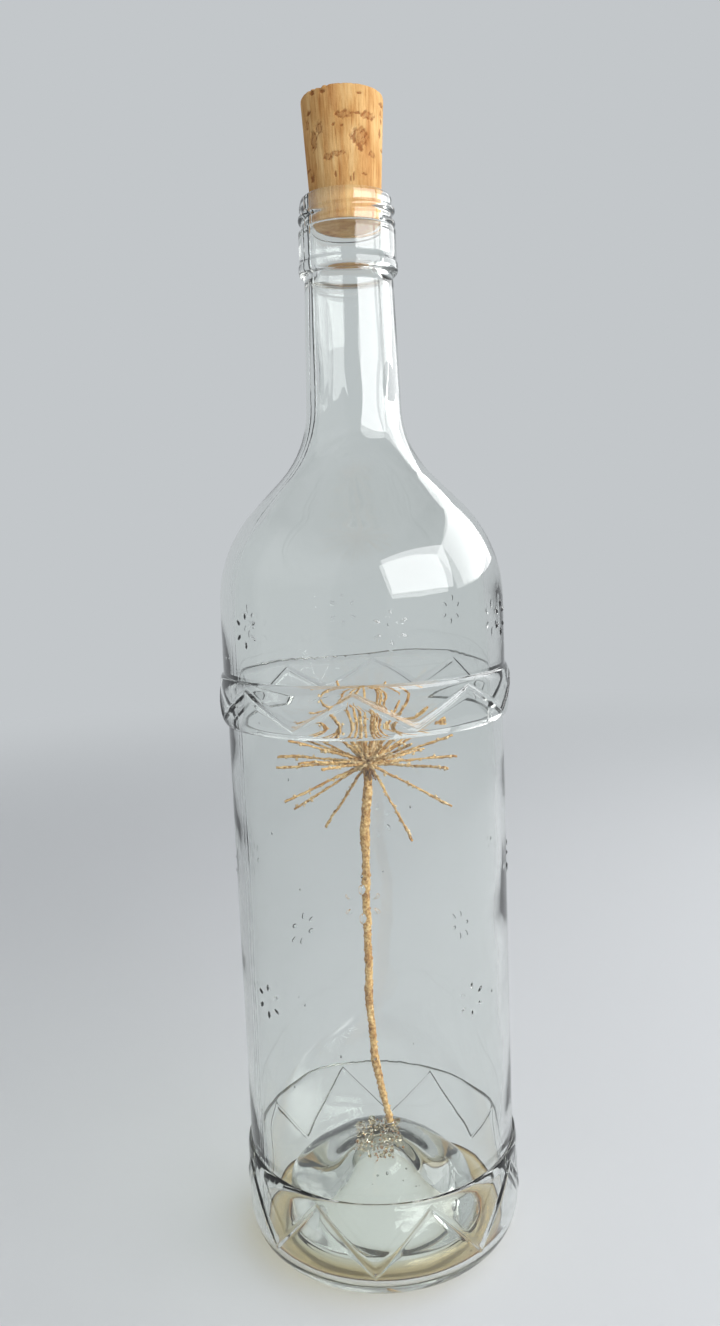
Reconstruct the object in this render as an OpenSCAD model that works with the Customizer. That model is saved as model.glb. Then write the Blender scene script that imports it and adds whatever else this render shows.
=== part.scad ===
// Clear pressed-glass litre bottle with a raised zigzag on two belts and small
// raised stars, a deep kick-up in its base, a tapered cork in its mouth, and a dried
// umbel sprig standing in sugar crystals inside. Millimetres, +Z up. The origin is on
// the bottle's axis, in the plane that it stands on.

/* [Glass body] */
// Radius of the plain label panel
panel_r = 40.7; // [39:0.1:43]
// Height of the plain label panel between the two belts
panel_h = 129.8; // [100:0.1:160]
// How far the foot belt stands out of the label panel
foot_belt_out = 1.1; // [0.8:0.1:1.6]
// Height of the foot belt, from the table up
foot_belt_h = 32.2; // [29:0.1:38]
// How far the upper belt stands out of the label panel
waist_belt_out = 1.8; // [1.4:0.1:2.4]
// Height of the upper belt
waist_belt_h = 14.7; // [12:0.1:20]
// Rounding of the belts' edges
belt_round = 0.7; // [0.3:0.05:0.75]
// Thickness of the glass in the wall
wall_t = 3.2; // [2.6:0.1:3.8]

/* [Heel and kick-up] */
// Radius of the round heel
heel_round = 11.6; // [10:0.1:13]
// Width of the flat ring that the bottle stands on
bearing_w = 2.2; // [1:0.1:4]
// Rounding between the flat ring and the kick-up
bearing_round = 2.4; // [1.5:0.1:3]
// Width of the gutter round the kick-up inside
gutter_w = 7.9; // [7:0.1:9]
// Thickness of the glass under the gutter
base_t = 5.5; // [4.5:0.1:7]
// Height of the kick-up's crown inside, above the table
punt_h = 26.6; // [24:0.1:36]
// Thickness of the glass at the crown
crown_t = 4.5; // [3.5:0.1:6]

/* [Shoulder and neck] */
// How far the wall over the upper belt stands out of the label panel
shoulder_out = 0.8; // [0.4:0.1:1.2]
// Height of that wall
shoulder_wall_h = 19.3; // [12:0.1:30]
// Radius of the outward curve of the shoulder
shoulder_round = 39.6; // [36:0.1:41]
// Slope at which the shoulder falls away, in degrees
shoulder_slope = 45; // [40:1:50]
// Radius of the inward curve below the neck
neck_round = 30; // [24:0.1:36]
// Radius of the neck where that curve ends
neck_base_r = 13.8; // [13.2:0.1:15]
// Radius of the neck under the bead
neck_top_r = 12.6; // [12.2:0.1:13.2]
// Length of the neck between the curve and the bead
neck_h = 35.5; // [25:0.1:60]

/* [Finish] */
// Radius of the bead under the collar
bead_r = 14.15; // [14:0.05:14.4]
// Height of the bead
bead_h = 3.4; // [2.8:0.1:4]
// Radius of the plain collar
collar_r = 13.85; // [13.6:0.05:13.95]
// Height of the plain collar
collar_h = 9.2; // [6:0.1:12]
// Radius of the land that carries the thread
land_r = 12.95; // [12.7:0.05:13.2]
// Height of the land, up to the lip
land_h = 9.1; // [7:0.1:12]
// Rounding of the lip outside
lip_round = 1.3; // [0.6:0.1:1.8]
// Radius of the mouth's bore
bore_r = 10.2; // [10:0.05:10.8]
// Rounding of the lip inside
mouth_round = 0.8; // [0.4:0.1:1.2]

/* [Raised ornament] */
// Number of peaks round each belt
peaks = 8; // [6:1:12]
// Width of the raised zigzag line
ridge_w = 1.4; // [1:0.1:2]
// How far the zigzag line stands out of its belt
ridge_out = 0.5; // [0.3:0.1:0.7]
// Gap between a zigzag's tips and the edges of its belt
ridge_margin = 2.6; // [2.2:0.1:4]
// Distance of a star's petals from its centre
star_r = 4; // [3:0.1:5]
// Length of a petal
petal_l = 2; // [1.4:0.1:2.4]
// Width of a petal
petal_w = 1; // [0.6:0.1:1.3]
// How far a petal stands out of the wall
petal_out = 0.4; // [0.3:0.1:0.6]

/* [Cork] */
// Length of the cork
cork_l = 34.8; // [30:0.1:45]
// Radius of the cork at its lower end
cork_low_r = 9.67; // [9.2:0.01:9.85]
// Radius of the cork at its upper end
cork_top_r = 11.65; // [11.2:0.05:12.4]
// Rounding of the cork's edges
cork_round = 0.7; // [0.3:0.1:1.2]
// Clearance between cork and bore where the taper meets the mouth
cork_gap = 0.1; // [0.05:0.01:0.15]

/* [Sprig and sugar] */
// Height of the umbel's heart above the crown
stem_h = 120.6; // [90:0.1:130]
// How far behind the bottle's axis the stem's foot stands
stem_back = 11; // [8:0.1:12]
// Radius of the stem
stem_r = 1.25; // [0.9:0.05:1.6]
// Length of the umbel's rays, from its heart
ray_l = 27.5; // [20:0.1:30]
// Radius of a ray at its tip
ray_tip_r = 0.35; // [0.3:0.05:0.5]
// Radius of the heart that the rays grow from
heart_r = 2.6; // [2:0.1:3.5]
// Half the width of the patch of sugar crystals on the crown
crust_w = 7.5; // [6:0.1:9]
// Half the depth of that patch, front to back
crust_d = 11.8; // [10:0.1:13]
// Length of a sugar crystal
crystal_l = 3; // [2:0.1:4]
// Depth of the liquor that is left in the gutter
residue_h = 3.1; // [2:0.1:3.5]

/* [Hidden] */

// Flats on a full circle, and points on a quarter of an outline's curve
round_fn = 96;
arc_steps = 10;
// Overrun of ornament into the wall
sink = 1;
// Clearance between what lies in the bottle and what it lies on
lying_gap = 0.1;
// Thickness of the sugar skin that joins the crystals
skin_t = 0.6;
// Sideways places of the stem's curve, as shares of its height: foot, two pulls and heart
stem_sway_shares = [0.0232, -0.0307, -0.0323, 0.0009];
// Heights of those four, as shares of the stem, and how far back, as shares of its foot's
stem_rise_shares = [0, 0.25, 0.63, 1];
stem_back_shares = [1, 0.72, 0.3, 0];
stem_rings = 17;
stem_sides = 10;
// Thickness of the slices that the stem's lengths are drawn between
slice_t = 0.1;
// Middle of the sugar patch, off the bottle's axis
crust_x = -1;
crust_y = 2.2;
crystals = 30;
// Each ray: turn in the plane of the front view, from +X towards +Z, and lean out of
// that plane towards the front, in degrees
rays = [
    [177, 10], [183, -12], [189, 58], [205, -6], [212, 14], [238, 30], [299, 14],
    [333, 6], [356, -28], [2, 8], [13, -48], [18, 12], [30, -8], [41, 22], [45, -26],
    [61, 36], [68, -30], [80, 20], [89, -34], [95, 40], [102, -16], [117, 42],
    [128, -32], [134, 18], [140, -22], [159, 54], [165, -24], [70, 66], [112, -68],
    [352, 60], [200, -58], [340, -62], [262, -74]
];
// Stars on the wall over the upper belt, and in two rows on the panel
shoulder_stars = 6;
shoulder_star_turn = 10;
panel_stars = 4;
panel_star_turn = -4;
// Height of the star rows, as shares of the wall or panel that they stand on
shoulder_star_share = 0.73;
panel_star_shares = [0.66, 0.41];
petals = 6;
// Turn of the zigzags from the front, in degrees
zigzag_turn = -4.5;
// How far short of its lines' crossing a zigzag's tip is cut flat
tip_cut = 0.2;

// Sizes that follow from those above
foot_r = panel_r + foot_belt_out;
waist_r = panel_r + waist_belt_out;
waist_z = foot_belt_h + panel_h;
wall_z = waist_z + waist_belt_h;
shoulder_r = panel_r + shoulder_out;
shoulder_z = wall_z + shoulder_wall_h;
// Centre of the shoulder's outward curve
dome_r = shoulder_r - shoulder_round;
slope_low_r = dome_r + shoulder_round * cos(shoulder_slope);
slope_low_z = shoulder_z + shoulder_round * sin(shoulder_slope);
slope_top_r = neck_base_r + neck_round * (1 - cos(shoulder_slope));
slope_top_z = slope_low_z + (slope_low_r - slope_top_r) / tan(shoulder_slope);
neck_z = slope_top_z + neck_round * sin(shoulder_slope);
bead_z = neck_z + neck_h;
bead_round = bead_r - neck_top_r;
collar_z = bead_z + bead_h;
land_z = collar_z + collar_h;
glass_h = land_z + land_h;
cavity_r = panel_r - wall_t;
gutter_round = gutter_w / 2;
gutter_r = cavity_r - gutter_round;
gutter_z = base_t + gutter_round;
punt_r = cavity_r - gutter_w;
ring_out_r = foot_r - heel_round;
ring_in_r = ring_out_r - bearing_w;
kick_r = ring_in_r - bearing_round;
kick_h = punt_h - crown_t;
seat_z = glass_h - mouth_round;
cork_taper = (cork_top_r - cork_low_r) / cork_l;
cork_z = seat_z - (bore_r - cork_gap - cork_low_r) / cork_taper;
heart_z = punt_h + stem_h;
stem_foot_x = stem_h * stem_sway_shares[0];
stem_heart_x = stem_h * stem_sway_shares[3];
stem_foot_z = punt_z(norm([stem_foot_x, stem_back]) - stem_r) + lying_gap;

// Points on an arc round (r, z), from one angle to another
function arc(r, z, radius, from, to, steps = arc_steps) =
    [for (i = [0:steps]) let (a = from + (to - from) * i / steps)
        [r + radius * cos(a), z + radius * sin(a)]];

// Points of a quarter ellipse from (width, base_z) up to the axis at crown_z
function bell(width, base_z, crown_z) =
    [for (i = [0:arc_steps]) let (a = 90 * i / arc_steps)
        [width * cos(a), base_z + (crown_z - base_z) * sin(a)]];

function reversed(points) = [for (i = [len(points) - 1:-1:0]) points[i]];

// Height of the kick-up's inner face at a distance from the axis
function punt_z(r) = gutter_z + (punt_h - gutter_z) * sqrt(1 - pow(min(r / punt_r, 1), 2));

// One belt's edges: the wall below, two rounded corners, the wall above
function belt(low_r, r, high_r, low_z, high_z) = concat(
    [[low_r, low_z]],
    arc(r - belt_round, low_z + belt_round, belt_round, -90, 0, 4),
    arc(r - belt_round, high_z - belt_round, belt_round, 0, 90, 4),
    [[high_r, high_z]]
);

// Half section of the glass's outside
outside = concat(
    [[0, kick_h]],
    reversed(bell(kick_r, bearing_round, kick_h)),
    arc(ring_in_r, bearing_round, bearing_round, 180, 270, 6),
    arc(ring_out_r, heel_round, heel_round, -90, 0),
    arc(foot_r - belt_round, foot_belt_h - belt_round, belt_round, 0, 90, 4),
    [[panel_r, foot_belt_h]],
    belt(panel_r, waist_r, shoulder_r, waist_z, wall_z),
    arc(dome_r, shoulder_z, shoulder_round, 0, shoulder_slope),
    arc(neck_base_r + neck_round, neck_z, neck_round, 180 + shoulder_slope, 180),
    arc(neck_top_r, bead_z + bead_round, bead_round, -90, 0, 6),
    [[bead_r, collar_z - (bead_r - collar_r)], [collar_r, collar_z]],
    [[collar_r, land_z - (collar_r - land_r)], [land_r, land_z]],
    arc(land_r - lip_round, glass_h - lip_round, lip_round, 0, 90, 6),
    [[0, glass_h]]
);

// Half section of the hollow
inside = concat(
    reversed(bell(punt_r, gutter_z, punt_h)),
    arc(gutter_r, gutter_z, gutter_round, 180, 360),
    arc(dome_r, shoulder_z, cavity_r - dome_r, 0, shoulder_slope),
    arc(neck_base_r + neck_round, neck_z, neck_round + wall_t, 180 + shoulder_slope, 180),
    [[bore_r, bead_z]],
    arc(bore_r + mouth_round, seat_z, mouth_round, 180, 90, 4),
    [[bore_r + mouth_round, glass_h + sink], [0, glass_h + sink]]
);

// A prism that runs out along the radius at one turn, through a flat outline
module radial(turn, z, from_r, to_r)
    rotate([0, 0, turn]) translate([0, -from_r, z]) rotate([90, 0, 0])
        linear_extrude(height = to_r - from_r) children();

// A plain ring between two radii
module ring(in_r, out_r, z, h)
    rotate_extrude($fn = round_fn) translate([in_r, z]) square([out_r - in_r, h]);

// One slanting line of a zigzag, as seen on the wall: from its low end to its high end
module slant(width, height)
    polygon([
        [-width / 2 - ridge_w / 2, -height / 2], [-width / 2 + ridge_w / 2, -height / 2],
        [width / 2 + ridge_w / 2, height / 2], [width / 2 - ridge_w / 2, height / 2]
    ]);

// A raised zigzag round a belt, with a peak at the given turn
module zigzag(r, low_z, high_z, peak_turn) {
    step = 180 / peaks;
    height = high_z - low_z;
    width = 2 * r * sin(step / 2);
    intersection() {
        ring(r - sink, r + ridge_out, low_z, height);
        union() for (i = [0:2 * peaks - 1])
            radial(peak_turn + step * (i + 0.5), low_z + height / 2, r - 2 * sink, r + 2 * sink)
                mirror([1 - i % 2, 0, 0]) slant(width, height + 2 * tip_cut);
    }
}

// One petal, pointed at both ends, standing upright on the wall
module petal() {
    bow = (petal_l * petal_l / petal_w + petal_w) / 4;
    intersection_for (side = [-1, 1])
        translate([side * (bow - petal_w / 2), 0]) circle(bow, $fn = round_fn);
}

// A ring of petals
module star(r, turn, z)
    intersection() {
        ring(r - sink, r + petal_out, z - 2 * star_r, 4 * star_r);
        radial(turn, z, r - 2 * sink, r + 2 * sink)
            for (i = [0:petals - 1])
                rotate(i * 360 / petals) translate([0, star_r]) petal();
    }

module stars() {
    for (i = [0:shoulder_stars - 1])
        star(shoulder_r, shoulder_star_turn + i * 360 / shoulder_stars,
            wall_z + shoulder_star_share * shoulder_wall_h);
    for (row = [0:1], i = [0:panel_stars - 1])
        star(panel_r, panel_star_turn + (i - row / 2) * 360 / panel_stars,
            foot_belt_h + panel_star_shares[row] * panel_h);
}

module glass_bottle() color([0.78, 0.86, 0.82, 0.45]) {
    difference() {
        rotate_extrude($fn = round_fn) polygon(outside);
        rotate_extrude($fn = round_fn) polygon(inside);
    }
    zigzag(waist_r, waist_z + ridge_margin, wall_z - ridge_margin, zigzag_turn);
    zigzag(foot_r, heel_round, foot_belt_h - ridge_margin, zigzag_turn + 180 / peaks);
    stars();
}

// The tapered cork, wedged where its taper meets the mouth
module cork_stopper() color([0.80, 0.59, 0.35])
    rotate_extrude($fn = round_fn)
        polygon([
            [0, cork_z], [cork_low_r - cork_round, cork_z],
            [cork_low_r + cork_taper * cork_round, cork_z + cork_round],
            [cork_top_r - cork_taper * cork_round, cork_z + cork_l - cork_round],
            [cork_top_r - cork_round, cork_z + cork_l], [0, cork_z + cork_l]
        ]);

// Middle of the stem at a share of its way up, on a cubic curve
function pull(a, t) = a[0] * pow(1 - t, 3) + 3 * a[1] * t * pow(1 - t, 2)
    + 3 * a[2] * t * t * (1 - t) + a[3] * pow(t, 3);
function stem_at(t) = [
    stem_h * pull(stem_sway_shares, t),
    stem_back * pull(stem_back_shares, t),
    stem_foot_z + (heart_z - stem_foot_z) * pull(stem_rise_shares, t)
];

// The curved stem, in short straight lengths
module stem(r)
    for (i = [0:stem_rings - 1])
        hull() for (end = [i, i + 1])
            translate(stem_at(end / stem_rings)) cylinder(r = r, h = slice_t, $fn = stem_sides);

// The sprig: the stem, and the rays that grow out of its heart
module dried_sprig() color([0.79, 0.61, 0.37]) {
    stem(stem_r);
    translate([stem_heart_x, 0, heart_z]) {
        sphere(heart_r, $fn = 16);
        for (ray = rays) rotate([0, -ray[0], 0]) rotate([0, 0, -ray[1]])
            hull() {
                sphere(2 * ray_tip_r, $fn = 6);
                translate([ray_l - ray_tip_r, 0, 0]) sphere(ray_tip_r, $fn = 6);
            }
    }
}

// One sugar crystal: a slanted block with a bevelled end
module crystal(size)
    hull() {
        cube([size, size * 0.6, size * 0.5], center = true);
        translate([size * 0.1, 0, 0]) cube([size * 0.7, size * 0.5, size * 0.9], center = true);
    }

// The patch of sugar on the crown of the kick-up, with a socket for the stem
module sugar_crust() color([0.85, 0.80, 0.68])
    difference() {
        union() {
            for (i = [0:crystals - 1]) {
                out = sqrt((i + 0.5) / crystals);
                x = crust_x + (crust_w - crystal_l / 2) * out * cos(i * 137.5);
                y = crust_y + (crust_d - crystal_l / 2) * out * sin(i * 137.5);
                translate([x, y, punt_z(norm([x, y])) + skin_t])
                    rotate([i * 41, i * 37, i * 71])
                        crystal(crystal_l * (0.65 + 0.35 * abs(sin(i * 71))));
            }
            intersection() {
                translate([crust_x, crust_y, 0])
                    scale([crust_w / crust_d, 1, 1]) cylinder(r = crust_d, h = 2 * punt_h, $fn = 24);
                rotate_extrude($fn = round_fn)
                    polygon(concat([[0, 0]], bell(punt_r, gutter_z, punt_h + skin_t)));
            }
        }
        rotate_extrude($fn = round_fn) polygon(concat(
            [[0, 0]], bell(punt_r + lying_gap, gutter_z, punt_h + lying_gap)));
        stem(stem_r + lying_gap);
        translate([stem_foot_x, stem_back, 0])
            cylinder(r = stem_r + lying_gap, h = stem_foot_z + slice_t, $fn = stem_sides);
    }

// The thin ring of liquor in the gutter
module liquor_residue() color([0.76, 0.60, 0.25, 0.6])
    rotate_extrude($fn = round_fn) intersection() {
        polygon(arc(gutter_r, gutter_z, gutter_round - lying_gap, 180, 360));
        translate([punt_r, 0]) square([gutter_w, base_t + residue_h]);
    }

glass_bottle();
cork_stopper();
dried_sprig();
sugar_crust();
liquor_residue();
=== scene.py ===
# %% [markdown]
# # A corked bottle of pressed glass
# A litre bottle moulded in one piece of clear soda-lime glass: two belts with a raised
# zigzag, small raised stars, a deep kick-up in the base and a short screw thread at the
# mouth. A tapered cork closes it, and a dried umbel stands in sugar crystals inside.
# The solids that carry and move come first, as a fixed frame. Every finer surface is
# worked out below, in the same place and at the same size.

# %% Load the frame
import bpy
import math
import numpy as np
from mathutils import Matrix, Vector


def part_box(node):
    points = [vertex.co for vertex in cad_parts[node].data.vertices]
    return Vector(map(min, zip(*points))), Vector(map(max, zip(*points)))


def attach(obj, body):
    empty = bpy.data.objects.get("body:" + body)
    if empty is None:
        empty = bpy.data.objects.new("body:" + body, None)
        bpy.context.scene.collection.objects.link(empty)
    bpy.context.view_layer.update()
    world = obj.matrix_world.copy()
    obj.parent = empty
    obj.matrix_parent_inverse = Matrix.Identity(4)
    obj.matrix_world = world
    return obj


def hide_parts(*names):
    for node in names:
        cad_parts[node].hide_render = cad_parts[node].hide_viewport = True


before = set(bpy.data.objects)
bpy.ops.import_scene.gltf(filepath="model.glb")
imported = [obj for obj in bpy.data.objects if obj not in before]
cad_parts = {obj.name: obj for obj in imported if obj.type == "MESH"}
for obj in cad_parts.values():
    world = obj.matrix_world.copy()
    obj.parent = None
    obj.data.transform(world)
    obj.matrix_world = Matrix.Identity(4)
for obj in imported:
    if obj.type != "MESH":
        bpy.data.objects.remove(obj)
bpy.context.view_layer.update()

MM = 0.001
ML_IN_CUBIC_METRE = 1e6
glass_low, glass_high = (np.array(corner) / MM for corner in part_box("glass_bottle"))
cork_low, cork_high = (np.array(corner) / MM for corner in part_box("cork_stopper"))
print("bottle in the frame, mm:", glass_low.round(1), glass_high.round(1))
print("cork in the frame, mm:", cork_low.round(1), cork_high.round(1))

# %% [markdown]
# ## Camera
# A photograph is a pinhole view: a place, three turns and a focal length. They were
# fitted to the outlines of the bottle and to its level rings, so the camera stands
# 31 cm from the axis, a little over the middle of the bottle, and looks slightly down.

# %% Camera
PHOTO_H = 1326
FOCAL_PX = 1047.8
SENSOR_MM = 36.0
EYE_MM = (0.0, -309.5, 215.3)
PITCH, ROLL, YAW = np.radians([6.957, -2.268, -0.206])


def camera_axes(pitch, roll, yaw):
    """Right, up and forward: forward is +Y turned by yaw and tipped down by pitch, then
    right and up turn about it by roll."""
    forward = np.array([math.sin(yaw) * math.cos(pitch), math.cos(yaw) * math.cos(pitch),
                        -math.sin(pitch)])
    level = np.array([math.cos(yaw), -math.sin(yaw), 0.0])
    rise = np.cross(level, forward)
    right = math.cos(roll) * level + math.sin(roll) * rise
    up = math.cos(roll) * rise - math.sin(roll) * level
    return right, up, forward


right, up, forward = camera_axes(PITCH, ROLL, YAW)
camera = bpy.data.objects.new("camera", bpy.data.cameras.new("camera"))
camera.data.sensor_width = SENSOR_MM
camera.data.lens = FOCAL_PX * SENSOR_MM / PHOTO_H
placing = np.eye(4)
placing[:3, 0], placing[:3, 1], placing[:3, 2] = right, up, -forward
placing[:3, 3] = np.array(EYE_MM) * MM
camera.matrix_world = Matrix(placing.tolist())
bpy.context.collection.objects.link(camera)
bpy.context.scene.camera = camera
print("lens, mm:", round(camera.data.lens, 2))

# %% [markdown]
# ## Colours, nodes and pieces
# Colours are written as sRGB hex values, as a swatch shows them, and turned to the
# linear values that shaders need. One helper adds a node with its settings and links.
# Clear materials share their last step: a lamp's light would be stopped by a surface
# that only bends it, so it passes straight through, and every other ray is bent.

# %% Colours and nodes
def linear(swatch, alpha=1.0):
    """sRGB hex to linear RGBA: below 0.04045 divide by 12.92, above it take
    ((c + 0.055) / 1.055) to the power 2.4."""
    c = np.array([int(swatch[i:i + 2], 16) for i in (1, 3, 5)]) / 255
    c = np.where(c <= 0.04045, c / 12.92, ((c + 0.055) / 1.055) ** 2.4)
    return (*c.tolist(), alpha)


def add(tree, kind, settings=None, stops=(), **inputs):
    """Adds a node. Settings are its properties, stops the (place, swatch) pairs of a
    colour ramp, and inputs are values or sockets by the input's name, with _ for a space
    and a number after two _ for a place."""
    node = tree.nodes.new(kind)
    for name, value in (settings or {}).items():
        setattr(node, name, value)
    for i, (place, swatch) in enumerate(stops):
        ends = node.color_ramp.elements
        end = ends[i] if i < len(ends) else ends.new(place)
        end.position, end.color = place, linear(swatch)
    for name, value in inputs.items():
        key = int(name.split("__")[1]) if "__" in name else name.replace("_", " ")
        socket = node.inputs[key]
        if isinstance(value, bpy.types.NodeSocket):
            tree.links.new(value, socket)
        else:
            socket.default_value = value
    return node


def new_material(name):
    """An empty node material and its tree."""
    material = bpy.data.materials.new(name)
    material.use_nodes = True
    material.node_tree.nodes.clear()
    return material, material.node_tree


def let_lamps_through(tree, surface, swatch):
    """A clear surface that light from lamps goes straight through, tinted by the swatch,
    while every other ray meets it."""
    clear = add(tree, "ShaderNodeBsdfTransparent", Color=linear(swatch))
    lamp_ray = add(tree, "ShaderNodeLightPath").outputs["Is Shadow Ray"]
    shown = add(tree, "ShaderNodeMixShader", __0=lamp_ray, __1=surface,
                __2=clear.outputs["BSDF"])
    return shown.outputs["Shader"]


print("mid grey in linear light:", round(linear("#808080")[0], 3))

# %% [markdown]
# ## From arrays to a piece
# Every shape below ends as an array of points and an array of triangles. One helper makes
# a mesh of them. A closed shape's volume tells which way its faces look: it is negative
# when they look inwards, and then they are turned round.

# %% Pieces
def signed_volume(points, triangles):
    """The volume inside a closed shape: a sixth of the sum of the triple products of its
    triangles' corners. It is negative when the faces point inwards."""
    a, b, c = (points[triangles[:, i]] for i in range(3))
    return float(np.einsum("ij,ij->i", a, np.cross(b, c)).sum() / 6)


def make_piece(name, points_mm, triangles, material, smooth=True):
    """A mesh piece from points in millimetres and triangles, turned to face outwards."""
    points = np.asarray(points_mm) * MM
    triangles = np.asarray(triangles)
    if signed_volume(points, triangles) < 0:
        triangles = triangles[:, ::-1]
    mesh = bpy.data.meshes.new(name)
    mesh.vertices.add(len(points))
    mesh.vertices.foreach_set("co", points.ravel())
    mesh.loops.add(triangles.size)
    mesh.loops.foreach_set("vertex_index", triangles.ravel())
    mesh.polygons.add(len(triangles))
    mesh.polygons.foreach_set("loop_start", np.arange(0, triangles.size, 3))
    mesh.polygons.foreach_set("use_smooth", np.full(len(triangles), smooth))
    mesh.update(calc_edges=True)
    mesh.validate()
    mesh.materials.append(material)
    piece = bpy.data.objects.new(name, mesh)
    bpy.context.collection.objects.link(piece)
    print(name, "points", len(points), "triangles", len(triangles),
          "volume, ml:", round(signed_volume(points, triangles) * ML_IN_CUBIC_METRE, 2))
    return piece


# %% [markdown]
# ## Surfaces of rings
# Glass, cork and liquor are all turned shapes: rings round the axis, joined into a skin.
# A zone is a stack of rings that share their angles. Where ornament needs more points
# the next zone has more angles, and the two rings are closed like a zip, edge by edge
# from either side.

# %% Rings
TURN = 2 * math.pi


def even_angles(count, start=0.0):
    """Angles spread evenly over one turn."""
    return start + np.arange(count) * TURN / count


def zone(angles, r, z):
    """Rings with radius r and height z: each is one value a ring, or one a point."""
    z = np.atleast_2d(np.asarray(z, float).T).T
    shape = (len(z), len(angles))
    r = np.atleast_2d(np.asarray(r, float).T).T
    return {"angle": angles, "r": np.broadcast_to(r, shape), "z": np.broadcast_to(z, shape)}


def ring_points(part):
    """All points of a zone: angle 0 faces the viewer, -Y, and grows towards +X, so x is
    r times the angle's sine and y is minus r times its cosine."""
    x, y = part["r"] * np.sin(part["angle"]), -part["r"] * np.cos(part["angle"])
    return np.stack([x, y, part["z"]], -1).reshape(-1, 3)


def quads(first, rows, count):
    """Two triangles for every cell between neighbouring rings of one zone."""
    i = np.arange(rows - 1)[:, None] * count
    j = np.arange(count)[None, :]
    k = (j + 1) % count
    a, b, c, d = (first + v for v in (i + j, i + k, i + count + k, i + count + j))
    return np.concatenate([np.stack([a, b, c], -1), np.stack([a, c, d], -1)]).reshape(-1, 3)


def fan(first, count, pole):
    """A triangle from every edge of a ring to one point, facing down. The other way
    round they face up."""
    edge = np.arange(count)
    return np.stack([first + (edge + 1) % count, first + edge, np.full(count, pole)], -1)


print("four angles on a ring:", ring_points(zone(even_angles(4), 1, 0)).round(3).tolist())


# %% Zips and skins
def zip_rings(angles_a, first_a, angles_b, first_b):
    """Triangles between two rings with different angles. The edges of both rings are
    taken in the order of their middles, and each is joined to the point that the other
    ring has reached by then."""
    n, m = len(angles_a), len(angles_b)
    middles = np.concatenate([
        angles + np.diff(np.append(angles, angles[0] + TURN)) / 2
        for angles in (angles_a, angles_b)
    ])
    order = np.argsort(middles % TURN, kind="stable")
    of_a = order < n
    of_b = ~of_a
    at_a = (order[of_a][0] + np.cumsum(of_a) - of_a) % n
    at_b = (order[of_b][0] - n + np.cumsum(of_b) - of_b) % m
    next_a, next_b = (at_a + 1) % n, (at_b + 1) % m
    return np.concatenate([
        np.stack([first_a + at_a, first_a + next_a, first_b + at_b], -1)[of_a],
        np.stack([first_b + next_b, first_b + at_b, first_a + at_a], -1)[of_b]
    ])


def skin(zones, low_pole, high_pole):
    """Points and triangles of a closed skin through all zones, ended by two points on
    the axis."""
    points, faces, first = [], [], 0
    for i, part in enumerate(zones):
        count, angles = part["r"].shape[0], part["angle"]
        points.append(ring_points(part))
        faces.append(quads(first, count, len(angles)))
        if i:
            before = zones[i - 1]["angle"]
            faces.append(zip_rings(before, first - len(before), angles, first))
        first += count * len(angles)
    low_count, high_count = len(zones[0]["angle"]), len(zones[-1]["angle"])
    faces.append(fan(0, low_count, first))
    faces.append(fan(first - high_count, high_count, first + 1)[:, ::-1])
    points.append([[0.0, 0.0, low_pole], [0.0, 0.0, high_pole]])
    return np.concatenate(points), np.concatenate(faces)


two_rings = [zone(even_angles(count), 1, height) for count, height in ((4, 0), (7, 1))]
print("a skin of 4 and 7 angles: faces", len(skin(two_rings, 0, 1)[1]))


# %% Curves of a profile
def arc(centre_r, centre_z, radius, start, end, steps):
    """Points (r, z) on an arc: centre plus radius times (cosine, sine) of the angle."""
    a = np.radians(np.linspace(start, end, steps + 1))
    return np.stack([centre_r + radius * np.cos(a), centre_z + radius * np.sin(a)], -1)


def line(start, end, steps):
    """Points (r, z) spread evenly from start to end."""
    return np.linspace(start, end, steps + 1)


def bell(width, base_z, crown_z, fullness, steps):
    """A quarter of a superellipse from the axis at crown_z out to width at base_z: place
    over width and height over crown, each to the power of fullness, add up to 1. Two is
    an ellipse, less is leaner and more is fuller."""
    a = np.radians(np.linspace(90, 0, steps + 1))
    share = 2 / fullness
    return np.stack([width * np.cos(a) ** share,
                     base_z + (crown_z - base_z) * np.sin(a) ** share], -1)


def ripple(angle, z, waves):
    """A soft unevenness: a sum of sines that run round and up the surface. Each wave is
    (turns round, length upwards in mm, phase, depth in mm)."""
    return sum(depth * np.sin(turns * angle + TURN * z / length + phase)
               for turns, length, phase, depth in waves)


quarter = bell(width=2.0, base_z=0.0, crown_z=1.0, fullness=2.0, steps=4)
print("a quarter of an ellipse:", quarter.round(2).tolist())

# %% [markdown]
# ## The bottle's outline
# A glass mould is turned on a lathe before its ornament is cut, so the bottle is a
# profile first. The sizes are those of the solids. The belts swell out of the wall with
# a crease where they begin, and that swelling bends what is seen through them.

# %% Sizes of the glass
PANEL_R = 40.7
FOOT_OUT, WAIST_OUT, WALL_OUT = 1.1, 1.8, 0.8
FOOT_Z, WAIST_Z, WALL_Z, SHOULDER_Z = 32.2, 162.0, 176.7, 196.0
FOOT_SWELL, WAIST_SWELL_LOW, WAIST_SWELL_HIGH = 2.2, 3.2, 2.0
HEEL_ROUND, BEARING_W, BEARING_ROUND = 11.6, 2.2, 2.4
WALL_T, BASE_T, CROWN_T = 3.2, 5.5, 4.5
PUNT_H, GUTTER_W = 26.6, 7.9
DOME_ROUND, SLOPE, NECK_ROUND = 39.6, 45.0, 30.0
NECK_LOW_R, NECK_HIGH_R, NECK_H = 13.8, 12.6, 35.5
BEAD_R, BEAD_H, COLLAR_R, COLLAR_H, LAND_R = 14.15, 3.4, 13.85, 9.2, 12.95
COLLAR_ROUND, LIP_ROUND, MOUTH_ROUND, BORE_R = 0.6, 1.3, 0.8, 10.2

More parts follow.
